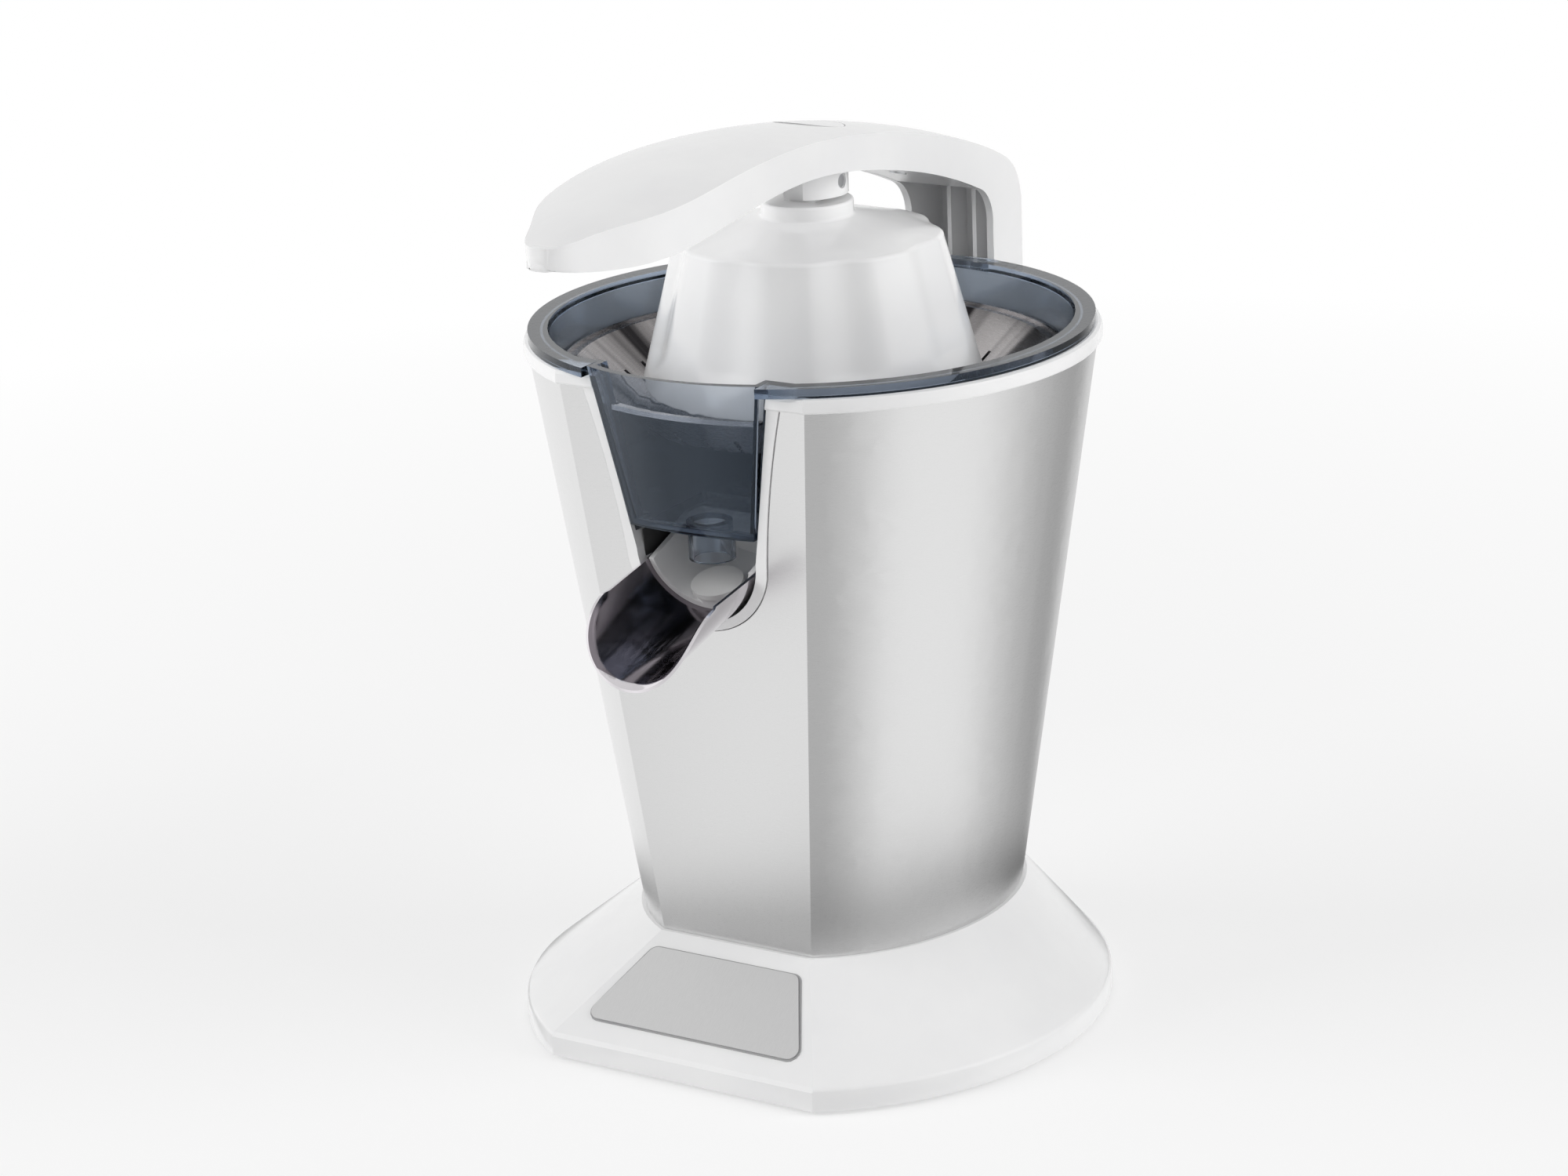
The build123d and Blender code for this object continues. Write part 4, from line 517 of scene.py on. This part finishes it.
# ---------------------------------------------------------------- spout
# The spout is a half pipe along a sloping axis; its end is cut round, like a scoop.
SPOUT_MOUTH = (0, -75.0, 177.7)
SPOUT_SLOPE = radians(15)
SPOUT_TIP_S = 51.0
SPOUT_ROUND_S = 26.0
SPOUT_REAR_S = -15.0
SPOUT_SHEET = 1.0
SPOUT_INNER_R = 20.55
SPOUT_NARROWING = 1.6 / 54.0
SPOUT_CURL = 0.9
SPOUT_CURL_LENGTH = 3.0
SPOUT_HALF_TURN = radians(85)
SPOUT_REAR_CUT_BACK = radians(7)
SPOUT_REAR_ROWS = 20
SPOUT_ROUND_ROWS = 36
SPOUT_ACROSS = 48
# Rows by the lip that keep the plain chrome, clear of the painted shade.
LIP_ROWS_UNSHADED = 11


def spout_radius(s, from_end):
    """Inner radius at s along the axis; close to the cut end it curls outwards."""
    curl = max(0.0, 1 - from_end / SPOUT_CURL_LENGTH)
    return SPOUT_INNER_R - SPOUT_NARROWING * max(0.0, s) + SPOUT_CURL * curl * curl


def spout_point(s, turn, radius):
    """Point at s along the sloping axis, turned from straight down towards +X."""
    down = radius * cos(turn)
    x = radius * sin(turn)
    y = SPOUT_MOUTH[1] - s * cos(SPOUT_SLOPE) + down * sin(SPOUT_SLOPE)
    z = SPOUT_MOUTH[2] - s * sin(SPOUT_SLOPE) - down * cos(SPOUT_SLOPE)
    return (x, y, z)


def spout_end(turn):
    """Where along the axis the round cut ends the sheet, at angle turn."""
    length = SPOUT_TIP_S - SPOUT_ROUND_S
    return SPOUT_ROUND_S + length * sqrt(max(0.0, 1 - (turn / SPOUT_HALF_TURN) ** 2))


def spout_stations():
    """Places along the axis, each with the angle that the sheet reaches there."""
    stations = []
    for s, _ in straight((SPOUT_REAR_S, 0), (SPOUT_ROUND_S, 0), SPOUT_REAR_ROWS):
        cut_back = max(0.0, 1 - max(0.0, s) / SPOUT_ROUND_S)
        stations.append((s, SPOUT_HALF_TURN - SPOUT_REAR_CUT_BACK * cut_back))
    length = SPOUT_TIP_S - SPOUT_ROUND_S
    for k in range(1, SPOUT_ROUND_ROWS + 1):
        part = pi / 2 * k / SPOUT_ROUND_ROWS
        stations.append((SPOUT_ROUND_S + length * sin(part), SPOUT_HALF_TURN * cos(part)))
    return stations


def spout_rows(outward):
    """The sheet's surface, outward mm out from its inner side."""
    rows = []
    for s, edge in spout_stations():
        row = []
        for k in range(SPOUT_ACROSS + 1):
            turn = edge * (2 * k / SPOUT_ACROSS - 1)
            row.append(spout_point(s, turn, spout_radius(s, spout_end(turn) - s) + outward))
        rows.append(row)
    return rows


def build_spout():
    """Scoop of thin sheet; its inside but for the lip is a darker chrome, painted shade."""
    shape = Shape()
    inner = shape.skin(spout_rows(0.0), closed=False)
    # The inner faces but for those by the lip get the painted shade.
    painted_shade_faces = len(shape.faces) - LIP_ROWS_UNSHADED * SPOUT_ACROSS
    outer = shape.skin(spout_rows(SPOUT_SHEET), closed=False)
    for a, b in zip(range(len(inner) - 1), range(1, len(inner))):
        for edge in (0, -1):
            shape.faces.append((inner[a][edge], inner[b][edge], outer[b][edge], outer[a][edge]))
    shape.join(inner[0], outer[0], closed=False)
    shape.piece(
        "spout_scoop",
        CHROME,
        "spout",
        ["spout"],
        smooth=50,
        bevel=0.22,
        painted_shade_inside=(CHROME_PAINTED_SHADE, painted_shade_faces),
    )


# A thin dark sheet of painted shade in the bay, beside the trough.
SHADE_SHEET_SIDES_X = (-22.75, -22.45)
SHADE_SHEET_OUTLINE = [(-70.5, 158), (-73, 183), (-60, 184), (-36, 184), (-36, 163), (-60, 156)]


def build_bay_painted_shade():
    """Dark sheet on the bay's left wall, painted shade: it stands for the shadow gap beside the
    trough.
    """
    shape = Shape()
    made = shape.skin([[(x, y, z) for y, z in SHADE_SHEET_OUTLINE] for x in SHADE_SHEET_SIDES_X])
    shape.fill(made[0])
    shape.fill(reversed(made[1]))
    shape.piece("bay_painted_shade", RUBBER, "housing", smooth=30, bevel=0.1)


# ---------------------------------------------------------------- arm nose
NOSE_TIP_Y = -156.19
NOSE_REAR_Y = -120.0
# The outline is taken at this height, between the arm's belly and its top.
NOSE_MID_Z = 293.4
NOSE_ROWS = 28
# Above 1, the rows gather towards the tip.
ROW_GATHER = 1.5
# Where lines towards the arm start: clear of it below, above and beside.
BELOW_ARM_Z = 200
ABOVE_ARM_Z = 400
BESIDE_ARM_X = 60
TIP_ROUND = 1.2
TIP_STEPS = 6
EDGE_STEPS = 8
# Forward of this far from the tip, the heights stay what they are there.
LEVEL_TIP = 2.2
# Edge radius and height over the arm at the tip, and what is lost towards the rear.
EDGE_AT_TIP, EDGE_LOSS = 0.5, 0.25
LIFT_AT_TIP, LIFT_LOSS = 0.14, 0.42
CROWN_R = 90.0
BELLY_INSET = 1.6
CLOSING_SHARES = (0.85, 0.65, 0.45, 0.25, 0.0)


def arm_reach(start, way):
    """Where a line from start, in millimetres, first meets the arm's mouldings."""
    spots = []
    for part in ("arm_body", "arm_cover"):
        found, spot, _, _ = nodes[part].ray_cast(Vector(start) * MM, Vector(way))
        if found:
            spots.append(spot / MM)
    return min(spots, key=lambda spot: (spot - Vector(start)).length)


def nose_share(y):
    """0 at the nose's tip, 1 where the skin ends."""
    return (y - NOSE_TIP_Y) / (NOSE_REAR_Y - NOSE_TIP_Y)


def nose_lift(y):
    """How far the skin stands over the arm; it dives under the arm's surface at the rear."""
    return LIFT_AT_TIP - LIFT_LOSS * nose_share(y)


def nose_height(spot, level, drop, lift):
    """Height on the arm's crowned top or on its belly, drop mm in from it, lift mm proud."""
    y = max(spot.y, NOSE_TIP_Y + LEVEL_TIP)
    if level == "low":
        return arm_reach((0, y, BELOW_ARM_Z), (0, 0, 1)).z - lift + drop
    crown = CROWN_R - sqrt(CROWN_R**2 - spot.x**2)
    return arm_reach((0, y, ABOVE_ARM_Z), (0, 0, -1)).z - crown + lift - drop


def nose_outline():
    """The nose seen from above: its left side, round the tip, and its right side."""
    right = []
    tip_y = NOSE_TIP_Y + TIP_ROUND
    for k in range(NOSE_ROWS):
        y = tip_y + (NOSE_REAR_Y - tip_y) * (k / (NOSE_ROWS - 1)) ** ROW_GATHER
        right.append((arm_reach((BESIDE_ARM_X, y, NOSE_MID_Z), (-1, 0, 0)).x, y))
    half = right[0][0]
    turns = [pi / 2 * k / TIP_STEPS for k in range(TIP_STEPS)]
    tip = [(half * sin(t), NOSE_TIP_Y + TIP_ROUND * (1 - cos(t))) for t in turns]
    right = tip + right
    return [Vector((-x, y)) for x, y in reversed(right[1:])] + [Vector(p) for p in right]


def inward_ways(outline):
    """At each point of an open outline, the way that points into it."""
    ways = []
    for before, after in zip(outline[:1] + outline[:-1], outline[1:] + outline[-1:]):
        along = (after - before).normalized()
        ways.append(Vector((-along.y, along.x)))
    return ways


def nose_section():
    """From belly to top: which level, and inset and drop in edge radii."""
    turns = [pi / 2 * k / (EDGE_STEPS - 1) for k in range(EDGE_STEPS)]
    section = [("low", BELLY_INSET, 0.0)]
    section += [("low", 1 - sin(t), 1 - cos(t)) for t in reversed(turns)]
    return section + [("high", 1 - cos(t), 1 - sin(t)) for t in turns]


def build_arm_nose():
    """Skin over the arm's nose, its upper and lower edges rounded evenly round the tip."""
    outline = nose_outline()
    inward = inward_ways(outline)
    rows = []
    for level, inset, drop in nose_section():
        row = []
        for point, way in zip(outline, inward):
            edge = EDGE_AT_TIP - EDGE_LOSS * nose_share(point.y)
            lift = nose_lift(point.y)
            spot = point + way * (inset * edge - lift)
            height = nose_height(spot, level, drop * edge, lift)
            row.append((spot.x, max(spot.y, NOSE_TIP_Y), height))
        rows.append(row)
    top_edge = rows[-1]
    for narrow in CLOSING_SHARES:
        row = []
        for x, y, _ in top_edge:
            height = nose_height(Vector((x * narrow, y)), "high", 0.0, nose_lift(y))
            row.append((x * narrow, y, height))
        rows.append(row)
    shape = Shape()
    shape.skin(rows, closed=False)
    shape.piece("arm_nose", WHITE, "arm", smooth=70)


# ---------------------------------------------------------------- fine lines and borders
PLATE_MIDDLE = (0, -81.0, 23.63)
PLATE_SLOPE = radians(37.99)
BED_CORNERS = [(-43.3, -15.9), (43.3, -15.9), (29.2, 15.9), (-29.2, 15.9)]
BED_CORNER_R = 4.0
BED_DEPTHS = (-0.4, 0.35)


def plate_point(u, v, out):
    """u across the front slope, v up it, out of its surface."""
    y = PLATE_MIDDLE[1] + v * cos(PLATE_SLOPE) - out * sin(PLATE_SLOPE)
    z = PLATE_MIDDLE[2] + v * sin(PLATE_SLOPE) + out * cos(PLATE_SLOPE)
    return (u, y, z)


def rounded_outline(corners, radius, steps=6):
    """A polygon with its corners rounded, as points in order."""
    outline = []
    for before, here, after in zip(corners[-1:] + corners[:-1], corners, corners[1:] + corners[:1]):
        middle = Vector(here)
        back = (Vector(before) - middle).normalized()
        ahead = (Vector(after) - middle).normalized()
        half = back.angle(ahead) / 2
        centre = middle + (back + ahead).normalized() * (radius / sin(half))
        first = middle + back * (radius / tan(half)) - centre
        last = middle + ahead * (radius / tan(half)) - centre
        for k in range(steps + 1):
            spoke = first.lerp(last, k / steps).normalized() * radius
            outline.append(tuple(centre + spoke))
    return outline


def build_plate_bed():
    """Dark bed that the front plate is glued on; it shows as the fine line round the plate."""
    outline = rounded_outline(BED_CORNERS, BED_CORNER_R)
    shape = Shape()
    made = shape.skin([[plate_point(u, v, out) for u, v in outline] for out in BED_DEPTHS])
    shape.fill(reversed(made[0]))
    shape.fill(made[1])
    shape.piece("plate_bed", GREY, "housing", smooth=30, bevel=0.12)


WINDOW_LOW_Z = 186.2
WINDOW_TOP_Z = 236.8
# The window's half width at its foot, and how much it widens for each mm of height.
WINDOW_FOOT_Z = 186.0
WINDOW_FOOT_HALF = 23.6
WINDOW_FLARE = 8.8 / 54.2
# The front face: where its foot is, and how far it leans forward for each mm of height.
FRONT_FOOT_Y = -59.5
FRONT_FOOT_Z = 37.3
FRONT_LEAN = 19.7 / 194.7
RIB_STEPS = 6
# Sections of the border: out of the face and inward from its edge, or height and out.
SIDE_RIB = [(0.05, 0.0), (0.9, 0.0), (0.9, 1.6), (0.05, 2.2)]
BOTTOM_RIB_LOW, BOTTOM_RIB_HIGH = WINDOW_LOW_Z - 0.1, WINDOW_LOW_Z + 2.3
BOTTOM_RIB = [
    (BOTTOM_RIB_LOW, 0.05),
    (BOTTOM_RIB_LOW, 0.95),
    (BOTTOM_RIB_HIGH - 0.6, 0.95),
    (BOTTOM_RIB_HIGH, 0.05),
]


def window_point(share, z, out, inward=0.0):
    """On the window's outer face: share -1 to 1 across, out of the face, inward from its edge."""
    half = WINDOW_FOOT_HALF + (z - WINDOW_FOOT_Z) * WINDOW_FLARE - inward
    return (share * half, FRONT_FOOT_Y - (z - FRONT_FOOT_Z) * FRONT_LEAN - out, z)


def build_rib(name, rows):
    """A closed bar through the rows, of the window's dark edge material."""
    shape = Shape()
    made = shape.skin(rows)
    shape.fill(reversed(made[0]))
    shape.fill(made[-1])
    shape.piece(name, SMOKED_EDGE, "housing", smooth=40, bevel=0.3)


def build_window_ribs():
    """Thick dark border of the bowl's window: one rib down each side and one along the bottom."""
    span = WINDOW_TOP_Z - WINDOW_LOW_Z
    heights = [WINDOW_LOW_Z + span * k / RIB_STEPS for k in range(RIB_STEPS + 1)]
    for name, side in (("window_rib_left", -1), ("window_rib_right", 1)):
        rows = [[window_point(side, z, out, inward) for out, inward in SIDE_RIB] for z in heights]
        build_rib(name, rows)
    shares = [k / RIB_STEPS - 1 for k in range(2 * RIB_STEPS + 1)]
    rows = [[window_point(share, z, out, 1.0) for z, out in BOTTOM_RIB] for share in shares]
    build_rib("window_rib_bottom", rows)


CAP_Y = 3.0
CAP_SEAM_R = 11.8
CAP_SEAM_WIDTH = 0.7
CAP_SEAM_RIDGE = 0.12
CAP_SEAM_SUNK = -0.3
CAP_SEAM_STEPS = 96
# The seam's heights are taken on a slightly wider ring, clear of the cap itself.
CAP_CLEAR_R = 13.0


def cap_seam_ring(r, lift):
    """A ring round the cap, lift mm over the arm's top."""
    ring = []
    for k in range(CAP_SEAM_STEPS):
        turn = 2 * pi * k / CAP_SEAM_STEPS
        above = Vector((CAP_CLEAR_R * cos(turn), CAP_Y + CAP_CLEAR_R * sin(turn), ABOVE_ARM_Z))
        _, spot, _, _ = nodes["arm_body"].ray_cast(above * MM, Vector((0, 0, -1)))
        ring.append((r * cos(turn), CAP_Y + r * sin(turn), spot.z / MM + lift))
    return ring


def build_cap_seam():
    """Fine joint line round the cap in the arm's top, laid on the arm's own surface; its grey is
    painted shade in the joint's groove.
    """
    half = CAP_SEAM_WIDTH / 2
    inner = cap_seam_ring(CAP_SEAM_R - half, CAP_SEAM_SUNK)
    ridge = cap_seam_ring(CAP_SEAM_R, CAP_SEAM_RIDGE)
    outer = cap_seam_ring(CAP_SEAM_R + half, CAP_SEAM_SUNK)
    shape = Shape()
    shape.skin([inner, ridge, outer], loop=True)
    # Grey plastic here is painted shade for the groove round the cap.
    shape.piece("cap_seam_shade", GREY, "arm", smooth=60)


# ---------------------------------------------------------------- studio
FLOOR_HALF = 6.0
FLOOR_Z = -0.0002
FLOOR_COLOUR = (0.9, 0.9, 0.9, 1)
# The floor's own white grows from FLOOR_OWN_LIGHT to all of it between these radii.
FLOOR_OWN_LIGHT = 0.60
FLOOR_SHADOW_R = 0.3
FLOOR_WHITE_R = 1.0
PURE_WHITE = (1, 1, 1, 1)
AMBIENT = 0.68
OVERHEAD = 0.30


def light_path_white(tree):
    """1 for rays that see the background directly, in metal or through glass; else 0."""
    path = tree.nodes.new("ShaderNodeLightPath")
    first = operation_node(tree, "ShaderNodeMath", "MAXIMUM")
    second = operation_node(tree, "ShaderNodeMath", "MAXIMUM")
    tree.links.new(path.outputs["Is Camera Ray"], first.inputs[0])
    tree.links.new(path.outputs["Is Glossy Ray"], first.inputs[1])
    tree.links.new(first.outputs[0], second.inputs[0])
    tree.links.new(path.outputs["Is Transmission Ray"], second.inputs[1])
    return second.outputs[0]


def mix_surfaces(tree, share, first, second, out):
    """Sends first to the output, blended into second by share."""
    mix = tree.nodes.new("ShaderNodeMixShader")
    tree.links.new(share, mix.inputs["Fac"])
    tree.links.new(first, mix.inputs[1])
    tree.links.new(second, mix.inputs[2])
    tree.links.new(mix.outputs[0], out.inputs["Surface"])


def build_world():
    """White behind the object; softer light from all round, dimmer from overhead."""
    world = bpy.data.worlds.new("studio")
    bpy.context.scene.world = world
    world.use_nodes = True
    tree = world.node_tree
    tree.nodes.clear()
    seen = node(tree, "ShaderNodeBackground", Color=PURE_WHITE, Strength=1.0)
    lit = node(tree, "ShaderNodeBackground", Color=PURE_WHITE)
    place = tree.nodes.new("ShaderNodeTexCoord")
    split = tree.nodes.new("ShaderNodeSeparateXYZ")
    tree.links.new(place.outputs["Generated"], split.inputs[0])
    fade = map_range(tree, split.outputs["Z"], 0.0, 1.0, AMBIENT, OVERHEAD)
    tree.links.new(fade, lit.inputs["Strength"])
    out = tree.nodes.new("ShaderNodeOutputWorld")
    mix_surfaces(tree, light_path_white(tree), lit.outputs[0], seen.outputs[0], out)


def square_corners(half, z):
    """Corners of a level square round the origin."""
    return [(-half, -half, z), (half, -half, z), (half, half, z), (-half, half, z)]


def build_floor():
    """White floor: part of its white is its own for the eye, the rest takes the shadow."""
    mesh = bpy.data.meshes.new("floor")
    mesh.from_pydata(square_corners(FLOOR_HALF, FLOOR_Z), [], [(0, 1, 2, 3)])
    floor = add_object("floor", mesh)
    material, tree, shader = new_material("floor_white")
    shader.inputs["Base Color"].default_value = FLOOR_COLOUR
    shader.inputs["Roughness"].default_value = 0.9
    shader.inputs["Specular IOR Level"].default_value = 0.0
    glow = node(tree, "ShaderNodeEmission", Color=PURE_WHITE, Strength=1.0)
    place = tree.nodes.new("ShaderNodeTexCoord")
    reach = operation_node(tree, "ShaderNodeVectorMath", "LENGTH")
    tree.links.new(place.outputs["Object"], reach.inputs[0])
    own = map_range(
        tree, reach.outputs["Value"], FLOOR_SHADOW_R, FLOOR_WHITE_R, FLOOR_OWN_LIGHT, 1.0
    )
    share = operation_node(tree, "ShaderNodeMath", "MULTIPLY")
    tree.links.new(light_path_white(tree), share.inputs[0])
    tree.links.new(own, share.inputs[1])
    out = tree.nodes["Material Output"]
    mix_surfaces(tree, share.outputs[0], shader.outputs[0], glow.outputs[0], out)
    mesh.materials.append(material)


COVE_R = 3.0
COVE_INNER_R = 0.114
COVE_FLOOR_Z = 0.001
COVE_TOP_Z = 2.6
COVE_STEPS = 48
# Tone of the studio walls by compass angle from the front (-Y) towards +X, in degrees.
COVE_TONES = [(-180, 0.86), (-120, 0.99), (-50, 0.99), (-38, 0.78), (-29, 0.94), (-19, 1.0)]
COVE_TONES += [(12, 0.63), (34, 0.46), (62, 0.99), (100, 0.99), (132, 0.56), (162, 0.33)]
COVE_TONES += [(180, 0.86)]
CEILING_TONE = 0.72
# Painted shadow: the table right beside the object, which the foot of the steel mirrors, is darker,
# as if in the object's shadow.
NEAR_R = 0.130
CLEAR_R = 0.166
PAINTED_SHADOW_SHARE = 0.32


def studio_mesh(name, shape, material):
    """A studio surface, in metres, that only metal and gloss show."""
    mesh = bpy.data.meshes.new(name)
    mesh.from_pydata(shape.points, [], shape.faces)
    mesh.materials.append(material)
    surface = add_object(name, mesh)
    surface.visible_camera = False
    surface.visible_diffuse = False
    surface.visible_transmission = False
    surface.visible_shadow = False


def bare_material(name):
    """A material with nothing in its tree but the output."""
    material = bpy.data.materials.new(name)
    material.use_nodes = True
    tree = material.node_tree
    tree.nodes.clear()
    return material, tree, tree.nodes.new("ShaderNodeOutputMaterial")


def compass_tones(tree, place):
    """The walls' tones by compass angle, from a position."""
    split = tree.nodes.new("ShaderNodeSeparateXYZ")
    back = operation_node(tree, "ShaderNodeMath", "MULTIPLY")
    back.inputs[1].default_value = -1.0
    turn = operation_node(tree, "ShaderNodeMath", "ARCTAN2")
    tree.links.new(place, split.inputs[0])
    tree.links.new(split.outputs["Y"], back.inputs[0])
    tree.links.new(split.outputs["X"], turn.inputs[0])
    tree.links.new(back.outputs[0], turn.inputs[1])
    ramp = tree.nodes.new("ShaderNodeValToRGB")
    while len(ramp.color_ramp.elements) < len(COVE_TONES):
        ramp.color_ramp.elements.new(0.5)
    for element, (angle, tone) in zip(ramp.color_ramp.elements, COVE_TONES):
        element.position = (angle + 180) / 360
        element.color = (tone, tone, tone, 1)
    tree.links.new(map_range(tree, turn.outputs[0], -pi, pi, 0.0, 1.0), ramp.inputs["Fac"])
    return ramp.outputs["Color"]


def cove_material():
    """Glow in the walls' tones, dimmer on the table right beside the object as painted shadow."""
    material, tree, out = bare_material("cove_tones")
    place = tree.nodes.new("ShaderNodeTexCoord").outputs["Object"]
    reach = operation_node(tree, "ShaderNodeVectorMath", "LENGTH")
    tree.links.new(place, reach.inputs[0])
    glow = node(tree, "ShaderNodeEmission")
    # Painted shadow: the glow fades close to the object.
    near = map_range(tree, reach.outputs["Value"], NEAR_R, CLEAR_R, PAINTED_SHADOW_SHARE, 1.0)
    tree.links.new(near, glow.inputs["Strength"])
    tree.links.new(compass_tones(tree, place), glow.inputs["Color"])
    tree.links.new(glow.outputs[0], out.inputs["Surface"])
    return material


def build_cove():
    """Studio walls and table that only metal and gloss reflect, with darker flags in them."""
    turns = [2 * pi * k / COVE_STEPS for k in range(COVE_STEPS)]
    levels = [(COVE_INNER_R, COVE_FLOOR_Z), (COVE_R, COVE_FLOOR_Z), (COVE_R, COVE_TOP_Z)]
    cove = Shape()
    cove.skin([[(r * cos(t), r * sin(t), z) for t in turns] for r, z in levels])
    studio_mesh("studio_cove", cove, cove_material())


def build_ceiling():
    """Even grey ceiling over the studio walls, for reflections only."""
    material, tree, out = bare_material("ceiling_tone")
    tone = (CEILING_TONE, CEILING_TONE, CEILING_TONE, 1)
    glow = node(tree, "ShaderNodeEmission", Color=tone, Strength=1.0)
    tree.links.new(glow.outputs[0], out.inputs["Surface"])
    ceiling = Shape()
    ceiling.fill(ceiling.row(square_corners(COVE_R, COVE_TOP_Z)))
    studio_mesh("studio_ceiling", ceiling, material)


LAMP_AIM = (0, 0, 0.2)
LAMP_SIZE = 1.5
KEY_PLACE, KEY_POWER = (-1.5, -1.26, 1.2), 26.0
FILL_PLACE, FILL_POWER = (1.89, 0.51, 1.2), 27.0


def softbox(name, place, power):
    """A square lamp aimed at the object; polished faces don't mirror it."""
    light = bpy.data.lights.new(name, "AREA")
    light.shape = "SQUARE"
    light.size = LAMP_SIZE
    light.energy = power
    lamp = add_object(name, light)
    lamp.location = place
    lamp.visible_glossy = False
    lamp.rotation_euler = (Vector(LAMP_AIM) - Vector(place)).to_track_quat("-Z", "Y").to_euler()


CAMERA_AZIMUTH = radians(31.63)
CAMERA_DISTANCE = 1.3996
CAMERA_HEIGHT = 0.5917
CAMERA_PITCH = radians(17.70)
CAMERA_ROLL = -0.039
CAMERA_YAW = 0.009
CAMERA_LENS = 99.14
CAMERA_SENSOR = 36.0
CAMERA_CLIP = 0.05


def build_camera():
    """The camera stands where the juicer is seen at the photograph's angle."""
    look = CAMERA_AZIMUTH + CAMERA_YAW
    level = cos(CAMERA_PITCH)
    ahead = Vector((-sin(look) * level, cos(look) * level, -sin(CAMERA_PITCH)))
    right = Vector((cos(look), sin(look), 0))
    up = right.cross(ahead)
    across = right * cos(CAMERA_ROLL) + up * sin(CAMERA_ROLL)
    upward = up * cos(CAMERA_ROLL) - right * sin(CAMERA_ROLL)
    camera = add_object("camera", bpy.data.cameras.new("camera"))
    camera.data.lens = CAMERA_LENS
    camera.data.sensor_width = CAMERA_SENSOR
    camera.data.clip_start = CAMERA_CLIP
    axes = Matrix((across, upward, -ahead)).transposed().to_4x4()
    x = CAMERA_DISTANCE * sin(CAMERA_AZIMUTH)
    y = -CAMERA_DISTANCE * cos(CAMERA_AZIMUTH)
    camera.matrix_world = Matrix.Translation((x, y, CAMERA_HEIGHT)) @ axes
    bpy.context.scene.camera = camera


dress_frame()
build_cup()
build_spout()
build_bay_painted_shade()
build_arm_nose()
build_plate_bed()
build_window_ribs()
build_cap_seam()
build_world()
build_floor()
build_cove()
build_ceiling()
softbox("key_light", KEY_PLACE, KEY_POWER)
softbox("fill_light", FILL_PLACE, FILL_POWER)
build_camera()
bpy.context.scene.view_settings.view_transform = "Standard"
